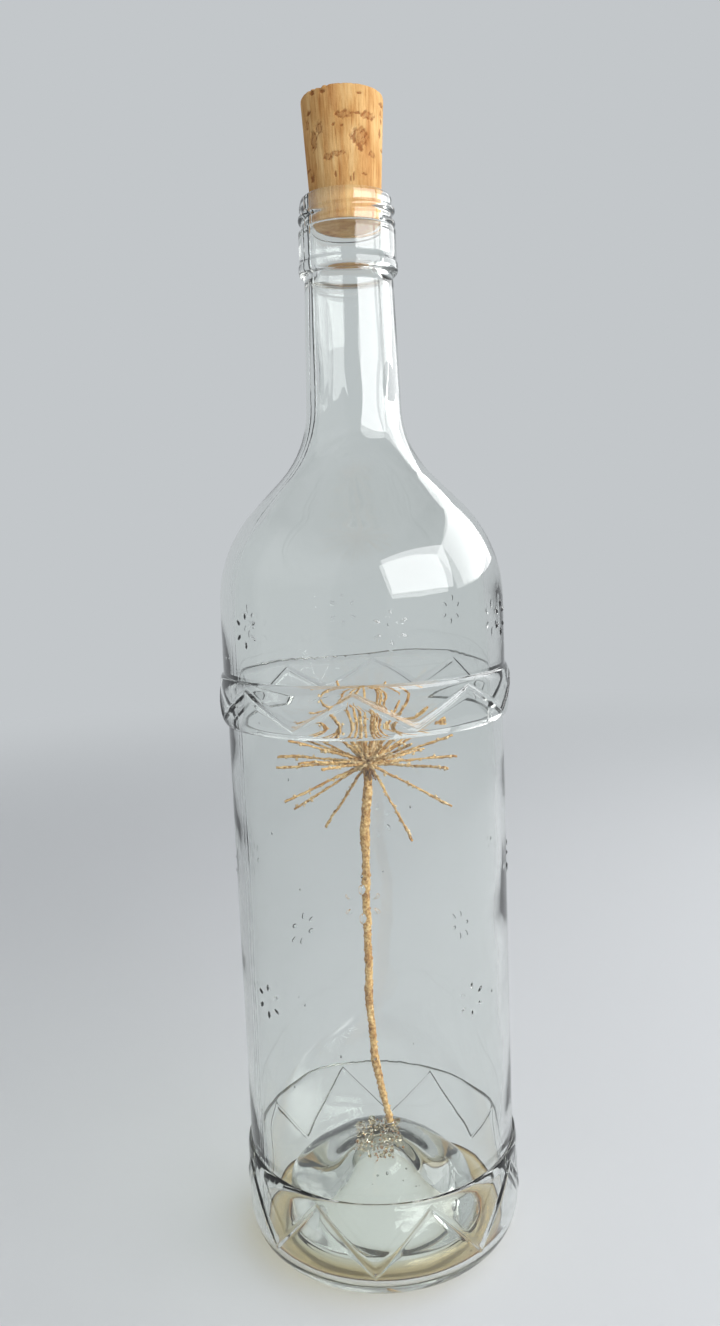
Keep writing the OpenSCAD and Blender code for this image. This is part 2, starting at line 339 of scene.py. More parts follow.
glass_h = glass_high[2]
foot_r = PANEL_R + FOOT_OUT
wall_r = PANEL_R + WALL_OUT
dome_r = wall_r - DOME_ROUND
cavity_r = PANEL_R - WALL_T
gutter_round = GUTTER_W / 2
gutter_r = cavity_r - gutter_round
gutter_z = BASE_T + gutter_round
punt_r = cavity_r - GUTTER_W
ring_r = foot_r - HEEL_ROUND
kick_r = ring_r - BEARING_W - BEARING_ROUND
slope_low = arc(dome_r, SHOULDER_Z, DOME_ROUND, SLOPE, SLOPE, steps=1)[0]
slope_high_r = NECK_LOW_R + NECK_ROUND * (1 - math.cos(math.radians(SLOPE)))
slope_high_z = slope_low[1] + (slope_low[0] - slope_high_r) / math.tan(math.radians(SLOPE))
neck_z = slope_high_z + NECK_ROUND * math.sin(math.radians(SLOPE))
bead_z = neck_z + NECK_H
collar_z = bead_z + BEAD_H
land_z = collar_z + COLLAR_H
print("neck from", round(neck_z, 1), "bead at", round(bead_z, 1), "land at", round(land_z, 1))

# %% [markdown]
# ## Ornament
# The zigzag could be pressed into a fine grid, but then its edges would look like
# stairs. Here the rings themselves follow it: rows run up and down with the zigzag, so
# a few of them give it a clean crest. The stars do get a fine grid, but only where
# they are. The thread winds up the land by one pitch a turn.

# %% Zigzag
PEAKS, COLUMNS_PER_LEG = 8, 12
ZIGZAG_TURN = math.radians(-4.5)
HALF_PEAK = math.pi / PEAKS
RIDGE_W, RIDGE_OUT, RIDGE_MARGIN = 1.5, 0.46, 2.6
RIDGE_FLAT = 0.9
# Rows across the ridge, from its lower foot at -1 to its upper foot at 1
RIDGE_ROWS = np.array([-0.55, -0.14, 0.14, 0.55])
main_angles = even_angles(2 * PEAKS * COLUMNS_PER_LEG, ZIGZAG_TURN)


def zigzag_height(angle, low, high, peak_angle):
    """Height of the zigzag's crest: a triangle wave with PEAKS peaks in a turn."""
    off = (angle - peak_angle + HALF_PEAK) % (2 * HALF_PEAK) - HALF_PEAK
    return high + (low - high) * (np.abs(off) / HALF_PEAK)


def belt_zone(low_z, high_z, low_tip, high_tip, peak_angle, radius_at, steps):
    """Rows from low_z to high_z that bend with the zigzag. The ridge is a V with a flat
    top: its height falls off straight from the crest to both feet. Its half width up and
    down is half its width, times the root of 1 plus the square of the leg's slope."""
    crest = zigzag_height(main_angles, low_tip, high_tip, peak_angle)
    leg = (high_tip - low_tip) / (HALF_PEAK * PANEL_R)
    half = RIDGE_W / 2 * math.hypot(1, leg)
    below = np.linspace(low_z, crest - half, steps)
    across = crest + half * RIDGE_ROWS[:, None]
    above = np.linspace(crest + half, high_z, steps)
    z = np.concatenate([below, across, above])
    rise = np.clip(1 - np.abs(z - crest) / half, 0, 1)
    out = RIDGE_OUT * np.minimum(rise, RIDGE_FLAT) / RIDGE_FLAT
    return zone(main_angles, radius_at(z) + out, z)


print("zigzag: tips in a turn", 2 * PEAKS, "angles", len(main_angles))

# %% Stars
STAR_R, PETAL_L, PETAL_W, PETAL_OUT, PETALS = 4.0, 2.1, 1.05, 0.36, 6
STAR_GRID, STAR_REACH, GAP_COLUMNS = 0.27, 6.0, 11


def star_zone(centre_z, first_turn, count, radius_at):
    """Rows across one row of stars, with angles close together at each star. A petal is
    a lens: its height is the root of what is left of 1 after the squares of its place
    along and across the petal."""
    centres = np.radians(first_turn) + np.arange(count) * TURN / count
    reach = STAR_REACH / PANEL_R
    fine = np.arange(-reach, reach, STAR_GRID / PANEL_R)
    gap = np.linspace(reach, TURN / count - reach, GAP_COLUMNS + 1)[1:-1]
    angles = np.sort(np.concatenate([c + np.concatenate([fine, gap]) for c in centres]))
    z = np.arange(-STAR_REACH, STAR_REACH + STAR_GRID / 2, STAR_GRID)[:, None] + centre_z
    z = np.broadcast_to(z, (len(z), len(angles)))
    nearest = (angles - centres[0] + math.pi / count) % (TURN / count) - math.pi / count
    u, v = nearest * PANEL_R, z - centre_z
    lens = np.zeros(z.shape)
    for turn in even_angles(PETALS):
        along = u * math.sin(turn) + v * math.cos(turn) - STAR_R
        across = u * math.cos(turn) - v * math.sin(turn)
        bump = 1 - (2 * along / PETAL_L) ** 2 - (2 * across / PETAL_W) ** 2
        lens = np.maximum(lens, np.sqrt(np.clip(bump, 0, 1)))
    return zone(angles, radius_at(z) + PETAL_OUT * lens, z)


print("a star is", round(2 * STAR_R + PETAL_L, 2), "mm across, on a grid of", STAR_GRID, "mm")

# %% Thread
THREAD_PITCH, THREAD_W, THREAD_OUT, THREAD_BLUNT = 3.5, 2.1, 0.85, 0.8
THREAD_START, THREAD_END, THREAD_FADE = 44.0, 640.0, 25.0
THREAD_START_Z = 301.6


def thread(angle, z):
    """Height of the screw thread: a rounded ridge round a helix that climbs one pitch a
    turn, and fades in and out at its two ends. Every turn that the helix may be in at an
    angle is tried, and the highest counts."""
    height = np.zeros(np.broadcast(angle, z).shape)
    for turns in range(-1, 3):
        run = np.degrees(angle) % 360 + 360 * turns
        centre = THREAD_START_Z + THREAD_PITCH * (run - THREAD_START) / 360
        near = np.clip(1 - ((z - centre) / (THREAD_W / 2)) ** 2, 0, 1) ** THREAD_BLUNT
        fade = np.clip(np.minimum(run - THREAD_START, THREAD_END - run) / THREAD_FADE, 0, 1)
        height = np.maximum(height, near * fade)
    return THREAD_OUT * height


print("turns of thread:", round((THREAD_END - THREAD_START) / 360, 2))

# %% [markdown]
# ## The glass
# The skin starts on the axis under the kick-up, runs down to the ring that the bottle
# stands on, up the outside, over the lip and back down the inside to the crown. It is
# one closed shape, so light that enters it always leaves it again. The inside is blown
# and not moulded: it ripples a little, which makes things behind it waver.

# %% Radius of each part of the wall
def foot_radius(z):
    """Radius of the foot belt: the round heel, then straight, then the belt's swelling
    back to the panel, a quarter ellipse."""
    drop = np.clip(1 - z / HEEL_ROUND, 0, 1)
    heel = foot_r - HEEL_ROUND + HEEL_ROUND * np.sqrt(1 - drop ** 2)
    t = np.clip(1 - (FOOT_Z - z) / FOOT_SWELL, 0, 1)
    return heel - FOOT_OUT * (1 - np.sqrt(1 - t ** 2))


def waist_radius(z):
    """Radius of the upper belt: it swells out of the panel by a quarter ellipse and back
    to the wall by another."""
    low = np.clip(1 - (z - WAIST_Z) / WAIST_SWELL_LOW, 0, 1)
    high = np.clip(1 - (WALL_Z - z) / WAIST_SWELL_HIGH, 0, 1)
    return (PANEL_R + WAIST_OUT - WAIST_OUT * (1 - np.sqrt(1 - low ** 2))
            - (WAIST_OUT - WALL_OUT) * (1 - np.sqrt(1 - high ** 2)))


def wall_radius(z):
    """Radius of the wall over the belt, straight at first and then bent in to the
    shoulder on a circle."""
    rise = np.clip((z - SHOULDER_Z) / DOME_ROUND, 0, 1)
    return dome_r + DOME_ROUND * np.sqrt(1 - rise ** 2)


def panel_radius(z):
    """Radius of the plain panel between the belts: the same everywhere."""
    return np.full(np.shape(z), PANEL_R)


print("radius of the upper belt, mm:", waist_radius((WAIST_Z + WALL_Z) / 2))


# %% Plain zones
def plain(profile, angles=main_angles):
    """A turned zone: every point of a ring has the (r, z) that the profile lists."""
    profile = np.asarray(profile, float)
    return zone(angles, profile[:, :1], profile[:, 1:])


def rows(radius_at, low, high, count):
    """A turned zone between two heights, with the radius that radius_at gives there."""
    z = np.linspace(low, high, count)
    return plain(np.stack([radius_at(z), z], -1))


print("rings over the panel:", rows(panel_radius, FOOT_Z, WAIST_Z, count=8)["r"].shape)

# %% Base
KICK_W, KICK_FULLNESS, KICK_FLARE = 13.5, 2.2, 3.4
HEEL_TOP = 6.0
kick_h = PUNT_H - CROWN_T


def base_profile():
    """Under the base: a narrow bell that flares to the bearing ring, by what is left of
    its height to the power of the flare, then round the ring and up the heel."""
    kick = bell(KICK_W, BEARING_ROUND, kick_h, KICK_FULLNESS, steps=26)
    rise = (kick[:, 1] - BEARING_ROUND) / (kick_h - BEARING_ROUND)
    kick[:, 0] += (kick_r - KICK_W) * (1 - rise) ** KICK_FLARE
    heel_end = -math.degrees(math.asin(1 - HEEL_TOP / HEEL_ROUND))
    return np.concatenate([
        kick[1:],
        arc(ring_r - BEARING_W, BEARING_ROUND, BEARING_ROUND, 180, 270, steps=5)[1:],
        arc(ring_r, HEEL_ROUND, HEEL_ROUND, -90, heel_end, steps=8)
    ])


print("base: rings", len(base_profile()), "hollow, mm high:", kick_h)

# %% Belts, panel and shoulder
# Stars: the share of the way up the panel or the wall, the first one's turn, how many
LOW_STARS, HIGH_STARS, WALL_STARS = (0.41, -49.0, 4), (0.66, -4.0, 4), (0.73, 10.0, 6)
low_stars_z, high_stars_z = (FOOT_Z + stars[0] * (WAIST_Z - FOOT_Z)
                             for stars in (LOW_STARS, HIGH_STARS))
wall_stars_z = WALL_Z + WALL_STARS[0] * (SHOULDER_Z - WALL_Z)
FOOT_TIP_Z = 11.0
# Gaps between zones: over a crease, beside the stars of the panel, elsewhere
CREASE, PANEL_GAP, GAP = 0.1, 3.0, 0.5
# Where a zigzag's rows end and the swelling's own rows begin, as shares of the swelling
FOOT_SHARES, WAIST_LOW_SHARES, WAIST_HIGH_SHARES = (0.30, 0.25), (0.30, 0.36), (0.35, 0.30)


def wall_zones():
    """The outside from the foot belt to the shoulder: both belts with their zigzags, and
    the panel and wall with their stars."""
    foot_belt, foot_edge = (FOOT_Z - FOOT_SWELL * share for share in FOOT_SHARES)
    waist_edge, waist_low = (WAIST_Z + WAIST_SWELL_LOW * share for share in WAIST_LOW_SHARES)
    waist_high, wall_edge = (WALL_Z - WAIST_SWELL_HIGH * share for share in WAIST_HIGH_SHARES)
    beside = STAR_REACH + PANEL_GAP
    return [
        belt_zone(HEEL_TOP + GAP, foot_belt, FOOT_TIP_Z, FOOT_Z - RIDGE_MARGIN,
                  ZIGZAG_TURN + HALF_PEAK, foot_radius, steps=9),
        rows(foot_radius, foot_edge, FOOT_Z, count=6),
        rows(panel_radius, FOOT_Z + CREASE, low_stars_z - beside, count=8),
        star_zone(low_stars_z, *LOW_STARS[1:], panel_radius),
        rows(panel_radius, low_stars_z + beside, high_stars_z - beside, count=4),
        star_zone(high_stars_z, *HIGH_STARS[1:], panel_radius),
        rows(panel_radius, high_stars_z + beside, WAIST_Z - CREASE, count=7),
        rows(waist_radius, WAIST_Z, waist_edge, count=8),
        belt_zone(waist_low, waist_high, WAIST_Z + RIDGE_MARGIN, WALL_Z - RIDGE_MARGIN,
                  ZIGZAG_TURN, waist_radius, steps=6),
        rows(waist_radius, wall_edge, WALL_Z, count=6),
        rows(wall_radius, WALL_Z + CREASE, wall_stars_z - STAR_REACH - GAP, count=4),
        star_zone(wall_stars_z, *WALL_STARS[1:], wall_radius)
    ]


print("points on the wall:", sum(part["r"].size for part in wall_zones()))

# %% Neck, finish and mouth
# The bead's top as (r, z) steps from its radius and the collar's foot
BEAD_TOP = np.array([(0.0, -0.5), (-0.1, -0.2)])
COLLAR_RING, COLLAR_EDGE = 2.5, 0.9
LAND_FOOT, LAND_RINGS = 0.25, 28


def finish_zones():
    """The outside from the shoulder's bend up: slope, neck, bead, collar, land with its
    thread, and the lip."""
    bend_z = wall_stars_z + STAR_REACH + GAP
    bend = math.degrees(math.asin((bend_z - SHOULDER_Z) / DOME_ROUND))
    bead_round = BEAD_R - NECK_HIGH_R
    neck = np.concatenate([
        arc(dome_r, SHOULDER_Z, DOME_ROUND, bend, SLOPE, steps=16),
        arc(NECK_LOW_R + NECK_ROUND, neck_z, NECK_ROUND, 180 + SLOPE, 180, steps=18),
        line((NECK_LOW_R, neck_z), (NECK_HIGH_R, bead_z), steps=11)[1:-1],
        arc(NECK_HIGH_R, bead_z + bead_round, bead_round, -90, 0, steps=7),
        (BEAD_R, collar_z) + BEAD_TOP,
        [(COLLAR_R, z) for z in (
            collar_z, collar_z + COLLAR_RING, land_z - COLLAR_RING, land_z - COLLAR_EDGE)],
        arc(COLLAR_R - COLLAR_ROUND, land_z - COLLAR_ROUND, COLLAR_ROUND, 15, 90, steps=4)
    ])
    land = np.linspace(land_z + LAND_FOOT, glass_h - LIP_ROUND, LAND_RINGS)[:, None]
    lip = np.concatenate([
        arc(LAND_R - LIP_ROUND, glass_h - LIP_ROUND, LIP_ROUND, 0, 90, steps=7)[1:],
        arc(BORE_R + MOUTH_ROUND, glass_h - MOUTH_ROUND, MOUTH_ROUND, 90, 180, steps=5)
    ])
    return [plain(neck), zone(main_angles, LAND_R + thread(main_angles, land), land),
            plain(lip)]


print("points on neck and finish:", sum(part["r"].size for part in finish_zones()))

# %% Inside
INNER_COLUMNS = 128
MOUTH_EDGE = 2.0
PUNT_FULLNESS, PUNT_LEAN = 2.2, -3.5


def inner_zone():
    """The inside from the mouth down to the gutter and up the kick-up: the outside set
    in by the wall's thickness, with a straight bore."""
    return plain(np.concatenate([
        line((BORE_R, glass_h - MOUTH_ROUND - MOUTH_EDGE), (BORE_R, bead_z), steps=5),
        line((BORE_R, bead_z), (NECK_LOW_R - WALL_T, neck_z), steps=8)[1:-1],
        arc(NECK_LOW_R + NECK_ROUND, neck_z, NECK_ROUND + WALL_T, 180, 180 + SLOPE, steps=14),
        arc(dome_r, SHOULDER_Z, cavity_r - dome_r, SLOPE, 0, steps=14),
        line((cavity_r, SHOULDER_Z), (cavity_r, gutter_z), steps=39)[1:-1],
        arc(gutter_r, gutter_z, gutter_round, 0, -180, steps=18),
        bell(punt_r, gutter_z, PUNT_H, PUNT_FULLNESS, steps=20)[::-1][1:-1]
    ]), even_angles(INNER_COLUMNS))


def crown_lean(z):
    """How far the kick-up leans to one side at a height, as glass does that was pushed
    up while soft: nothing at its foot, all at its crown."""
    return PUNT_LEAN * np.clip((z - gutter_z) / (PUNT_H - gutter_z), 0, 1)


def punt_height(x, y):
    """Height of the kick-up's inner face: the superellipse of its profile round a crown
    that leans. Two rounds find how far it leans at that height."""
    height = PUNT_H
    for _ in range(2):
        out = np.clip(np.hypot(x - crown_lean(height), y) / punt_r, 0, 1)
        share = (1 - out ** PUNT_FULLNESS) ** (1 / PUNT_FULLNESS)
        height = gutter_z + (PUNT_H - gutter_z) * share
    return height


print("kick-up over the axis, mm:", np.round(punt_height(0.0, 0.0), 2))

# %% Glass skin
# Each wave is (turns round, length upwards in mm, phase, depth in mm)
OUTER_WAVES = ((2, 190.0, 0.4, 0.05), (3, 61.0, 2.1, 0.025), (5, -43.0, 1.3, 0.018),
               (9, 27.0, 4.0, 0.008))
INNER_WAVES = ((1, 150.0, 0.9, 0.22), (2, -83.0, 2.6, 0.16), (3, 47.0, 5.1, 0.10),
               (5, -31.0, 0.3, 0.06), (7, 23.0, 3.7, 0.035))
# Height that the waves begin at, how far they take to grow, and to fade below the bead
OUTER_FADE, INNER_FADE = (14.0, 20.0, 30.0), (8.0, 30.0, 40.0)


def waver(part, waves, fade):
    """Adds the waves to a zone's radius. They fade out at the foot and at the finish,
    which the mould and the plunger hold true."""
    start, rise, fall = fade
    grown = np.clip((part["z"] - start) / rise, 0, 1)
    left = np.clip((bead_z - part["z"]) / fall, 0, 1)
    part["r"] = part["r"] + grown * left * ripple(part["angle"], part["z"], waves)


def glass_skin():
    """All zones with their waves as one skin, its kick-up leant to one side."""
    zones = [plain(base_profile()), *wall_zones(), *finish_zones(), inner_zone()]
    for part in zones[:-1]:
        waver(part, OUTER_WAVES, OUTER_FADE)
    waver(zones[-1], INNER_WAVES, INNER_FADE)
    points, faces = skin(zones, kick_h, PUNT_H)
    inside = np.arange(len(points)) >= sum(part["r"].size for part in zones[:-1])
    # The last two points are the skin's poles, and the first of them is under the base
    inside[-2] = False
    dome = inside & (np.hypot(points[:, 0], points[:, 1]) < gutter_r)
    dome &= points[:, 2] <= PUNT_H
    points[dome, 0] += crown_lean(points[dome, 2])
    return points, faces


glass_points, glass_faces = glass_skin()
print("glass: points", len(glass_points), "faces", len(glass_faces))

# %% [markdown]
# ## Seeds
# Cheap glass keeps a few small bubbles, which glassmakers call seeds. They sit in the
# wall, drawn long by the blowing, and thicker in the heavy base. Each is a hollow in the
# solid glass, so its skin is turned inside out and joins the bottle's own mesh.

# %% Seeds in the glass
SEED = 7
SEED_SIDES, SEED_RINGS = 8, 5
SEED_MM, SEED_LONG = (0.16, 0.38), 1.5
WALL_SEEDS, WALL_SPREAD = 44, 0.25
CROWN_SEEDS, CROWN_REACH, CROWN_DEPTH = 30, 0.7, (1.2, 2.8)
HEEL_SEEDS, HEEL_SPREAD, HEEL_HEIGHT = 12, 1.0, (2.2, 3.6)


def seed_skins(draw):
    """All seeds as one array: a small ball, stretched upwards in the wall, is set down
    at places halfway through the glass, and its faces are turned round."""
    steep = np.linspace(math.pi, 0, SEED_RINGS + 2)[1:-1, None]
    ball, faces = skin([zone(even_angles(SEED_SIDES), np.sin(steep), np.cos(steep))], -1.0, 1.0)
    count = WALL_SEEDS + CROWN_SEEDS + HEEL_SEEDS
    turn = draw.uniform(0, TURN, count)
    r = np.concatenate([
        PANEL_R - WALL_T / 2 + draw.normal(0, WALL_SPREAD, WALL_SEEDS),
        CROWN_REACH * punt_r * np.sqrt(draw.uniform(0, 1, CROWN_SEEDS)),
        gutter_r + draw.uniform(-HEEL_SPREAD, HEEL_SPREAD, HEEL_SEEDS)
    ])
    x, y = r * np.sin(turn), -r * np.cos(turn)
    z = np.concatenate([
        draw.uniform(FOOT_Z, SHOULDER_Z, WALL_SEEDS),
        punt_height(x, y)[WALL_SEEDS:-HEEL_SEEDS] - draw.uniform(*CROWN_DEPTH, CROWN_SEEDS),
        draw.uniform(*HEEL_HEIGHT, HEEL_SEEDS)
    ])
    wide = draw.uniform(*SEED_MM, count)
    tall = wide * np.where(np.arange(count) < WALL_SEEDS, SEED_LONG, 1.0)
    places, sizes = np.stack([x, y, z], -1), np.stack([wide, wide, tall], -1)
    points = places[:, None] + ball * sizes[:, None]
    firsts = np.arange(count)[:, None, None] * len(ball)
    return points.reshape(-1, 3), (faces[:, ::-1][None] + firsts).reshape(-1, 3)


seed_points, seed_faces = seed_skins(np.random.default_rng(SEED))
glass_faces = np.concatenate([glass_faces, seed_faces + len(glass_points)])
glass_points = np.concatenate([glass_points, seed_points])
print("seeds: points", len(seed_points), "faces", len(seed_faces))

# %% [markdown]
# ## What glass is made of
# Clear soda-lime glass bends light by 1.52 and mirrors 4% of it head on. It isn't quite
# colourless: a trace of iron tints it green, which shows only where light runs a long
# way through it, at the edges. So the surface stays clear and the body takes the tint,
# in a volume that absorbs a little more red and blue than green. The two halves of the
# mould leave a gritty seam, which the neck shows most.

# %% Pressed soda-lime glass
GLASS_IOR = 1.52
GLASS_DENSITY = 16.0
RIPPLE_MM, RIPPLE_DEEP_MM = 9.0, 0.4
SEAM_TURN, SEAM_W, SEAM_GRIT_MM, SEAM_DEEP_MM = math.radians(-62.0), 0.7, 0.8, 0.5
LOWER_SEAM_SHARE = 0.12


def pressed_glass():
    """Glass pressed in an iron mould: a clean fire-polished shine with faint ripples."""
    material, tree = new_material("pressed_soda_lime_glass")
    place = add(tree, "ShaderNodeTexCoord").outputs["Object"]
    soft = add(tree, "ShaderNodeTexNoise", Vector=place, Scale=1 / (RIPPLE_MM * MM),
               Detail=1.0)
    bump = add(tree, "ShaderNodeBump", Strength=0.06, Distance=RIPPLE_DEEP_MM * MM,
               Height=soft.outputs["Fac"])
    aside = add(tree, "ShaderNodeVectorMath", {"operation": "DOT_PRODUCT"}, __0=place,
                __1=(math.cos(SEAM_TURN), math.sin(SEAM_TURN), 0.0))
    off = add(tree, "ShaderNodeMath", {"operation": "ABSOLUTE"}, __0=aside.outputs["Value"])
    seam = add(tree, "ShaderNodeMapRange", {"interpolation_type": "SMOOTHSTEP"},
               Value=off.outputs[0], __1=0.0, __2=SEAM_W * MM, __3=1.0, __4=0.0)
    height = add(tree, "ShaderNodeSeparateXYZ", Vector=place).outputs["Z"]
    upper = add(tree, "ShaderNodeMapRange", {"interpolation_type": "SMOOTHSTEP"},
                Value=height, __1=slope_low[1] * MM, __2=neck_z * MM,
                __3=LOWER_SEAM_SHARE, __4=1.0)
    grit = add(tree, "ShaderNodeTexNoise", Vector=place, Scale=1 / (SEAM_GRIT_MM * MM),
               Detail=2.0)
    rough = add(tree, "ShaderNodeMath", {"operation": "MULTIPLY"},
                __0=seam.outputs["Result"], __1=grit.outputs["Fac"])
    shown = add(tree, "ShaderNodeMath", {"operation": "MULTIPLY"},
                __0=rough.outputs[0], __1=upper.outputs["Result"])
    bump = add(tree, "ShaderNodeBump", Strength=0.5, Distance=SEAM_DEEP_MM * MM,
               Height=shown.outputs[0], Normal=bump.outputs["Normal"])
    glass = add(tree, "ShaderNodeBsdfPrincipled", Base_Color=linear("#FBFDFC"), Roughness=0.0,
                IOR=GLASS_IOR, Transmission_Weight=1.0, Normal=bump.outputs["Normal"])
    shown = let_lamps_through(tree, glass.outputs["BSDF"], "#F3F4F2")
    body = add(tree, "ShaderNodeVolumeAbsorption", Color=linear("#C6CABD"),
               Density=GLASS_DENSITY)
    add(tree, "ShaderNodeOutputMaterial", Surface=shown, Volume=body.outputs["Volume"])
    return material


bottle = make_piece("pressed_glass_bottle", glass_points, glass_faces, pressed_glass())
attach(bottle, "bottle")
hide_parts("glass_bottle")

# %% [markdown]
# ## The cork
# A stopper is cut from bark across its growth, so pores run in short dark dashes and
# ring-shaped scars, and the knife that tapers it leaves a rim that crumbles on one side.
# The skin is a fine grid of rings. Each pore is a pit with a ragged edge, and how dark
# it is goes into an attribute, so that colour and shape agree. The crumbled rim goes
# into the same attribute, darker the deeper it has crumbled.

# %% Pores
cork_z0, cork_z1 = cork_low[2], cork_high[2]
cork_r0, cork_r1 = 9.67, cork_high[0]
# Pores as seen: angle from the front, height under the top, length, height, depth, all
# in degrees and millimetres. A negative depth is a ring-shaped scar.
PORES = (
    (2, 8.0, 4.6, 1.8, -0.30), (39, 7.8, 4.4, 1.9, -0.28), (21, 7.6, 2.8, 0.6, 0.20),
    (24, 13.6, 4.8, 4.4, -0.35), (25, 13.2, 1.8, 1.4, -0.20), (16, 13.8, 1.0, 2.6, 0.30),
    (25, 16.2, 1.5, 2.2, 0.28), (-37, 10.6, 2.2, 3.0, -0.32), (-49, 13.3, 2.3, 4.6, -0.40),
    (-25, 18.3, 2.8, 1.6, -0.28), (-10, 17.8, 3.4, 1.2, -0.25), (-14, 10.4, 0.9, 0.7, 0.22),
    (-1, 10.8, 0.8, 0.6, 0.18), (47, 17.5, 2.6, 1.5, -0.20), (32, 22.9, 1.5, 0.5, 0.18),
    (-14, 23.0, 0.5, 1.5, 0.20), (14, 23.8, 0.5, 2.0, 0.18), (9, 24.4, 0.4, 1.6, 0.15),
    (-60, 22.4, 2.0, 2.0, 0.40), (-56, 5.8, 2.0, 1.0, 0.35), (-27, 1.7, 1.7, 0.8, 0.30),
    (-45, 1.2, 1.2, 1.2, 0.50), (24, 2.5, 1.8, 0.5, 0.20), (72, 5.7, 2.0, 1.6, -0.30),
    (74, 7.6, 1.6, 1.2, 0.25), (-62, 8.4, 1.6, 2.2, -0.30), (68, 11.0, 1.4, 2.0, 0.25)
)
# Round the back they are drawn at random between these values
HIDDEN_PORES = 26
HIDDEN_RANGES = ((75, 285), (3, 36), (1.2, 4.2), (0.5, 1.4), (0.25, 0.5))
# Waves of a pore's edge and of its rim's darkness, as for ripple
EDGE_WAVES = ((23, TURN / 2.3, 0, 0.16), (47, -TURN / 4.1, 2, 0.14), (89, TURN / 7.7, 0, 0.10))
RIM_WAVES, RIM_DARK = ((37, -TURN / 3.1, 1, 0.35),), 0.75
# Shares of a pore's half width: where its rim is and fades, where its fill ends and fades
RIM_AT, RIM_W, FILL_TO, FILL_FADE = 0.85, 0.42, 1.15, 0.35
# How deep and how dark the fill is beside the rim
SCAR_FILL, PIT_FILL = (0.25, 0.4), (0.9, 0.8)


def all_pores():
    """The pores that show from the front, and others like them round the back."""
    draw = np.random.default_rng(SEED)
    back = np.stack([draw.uniform(low, high, HIDDEN_PORES) for low, high in HIDDEN_RANGES], -1)
    return np.concatenate([np.array(PORES), back])


def pore_pits(angle, z, r):
    """Depth of the pits in mm, and how dark each point is, from 0 to 1. A pit is an
    ellipse whose edge wavers. Its rim is darkest, and a scar is deep only along it."""
    depth = np.zeros(np.broadcast(angle, z).shape)
    dark = np.zeros_like(depth)
    ragged = ripple(angle, z, EDGE_WAVES)
    broken = RIM_DARK + ripple(angle, z, RIM_WAVES)
    for turn, under_top, length, height, deep in all_pores():
        off = (angle - math.radians(turn) + math.pi) % TURN - math.pi
        u, v = off * r / (length / 2), (z - (cork_z1 - under_top)) / (height / 2)
        far = np.hypot(u, v) + ragged
        rim = np.clip(1 - np.abs(far - RIM_AT) / RIM_W, 0, 1)
        fill = np.clip((FILL_TO - far) / FILL_FADE, 0, 1)
        fill_deep, fill_dark = SCAR_FILL if deep < 0 else PIT_FILL
        depth = np.maximum(depth, abs(deep) * np.maximum(rim, fill_deep * fill))
        dark = np.maximum(dark, np.maximum(rim * broken, fill_dark * fill))
    return depth, np.clip(dark, 0, 1)


print("pores:", len(all_pores()))

# %% Crumbled rim
CHIP_MM, CHIP_DEEP = 1.5, 2.2
CHIPPED_TURN, CHIPPED_SPREAD, CHIPPED_LEAST = -37.0, 13.0, 0.10
CHIP_WAVES, CHIP_TURNS, CHIP_CALM, CHIP_LIFT = 9, (9, 50), 6, 0.35


def rim_chips(angle, draw):
    """How much of the cork's edge has crumbled away, from 0 to 1: a rough sum of sines,
    strong round one turn and faint elsewhere."""
    turns = draw.integers(*CHIP_TURNS, CHIP_WAVES)
    phases = draw.uniform(0, TURN, CHIP_WAVES)
    rough = sum(np.sin(n * angle + phase) / CHIP_CALM for n, phase in zip(turns, phases))
    off = (angle - math.radians(CHIPPED_TURN) + math.pi) % TURN - math.pi
    near = np.exp(-(np.degrees(off) / CHIPPED_SPREAD) ** 2)
    share = CHIPPED_LEAST + (1 - CHIPPED_LEAST) * near
    return share * np.clip(rough + CHIP_LIFT * share, 0, 1)


rim_share = rim_chips(even_angles(360), np.random.default_rng(SEED + 1))
print("deepest chip, mm:", round(CHIP_MM * rim_share.max(), 2))

# %% Cork skin
CORK_COLUMNS, CORK_ROWS, CORK_ROUND = 300, 130, 0.9
# Rings on both ends, as shares of the way out
END_RINGS = np.array([0.08, 0.25, 0.45, 0.62, 0.78, 0.9, 0.96])[:, None]
GRAIN_WAVES = ((23, 90.0, 0.3, 0.035), (41, -60.0, 2.0, 0.028), (67, 35.0, 4.0, 0.021),
               (9, 14.0, 1.0, 0.0175))
# Pores begin at this share of the cork's radius and are whole after some mm
PORES_FROM, PORES_FADE = 0.8, 2.0
CHIPS_FROM, CHIP_DARK, CROWN_DIP = 0.7, 0.4, 0.1


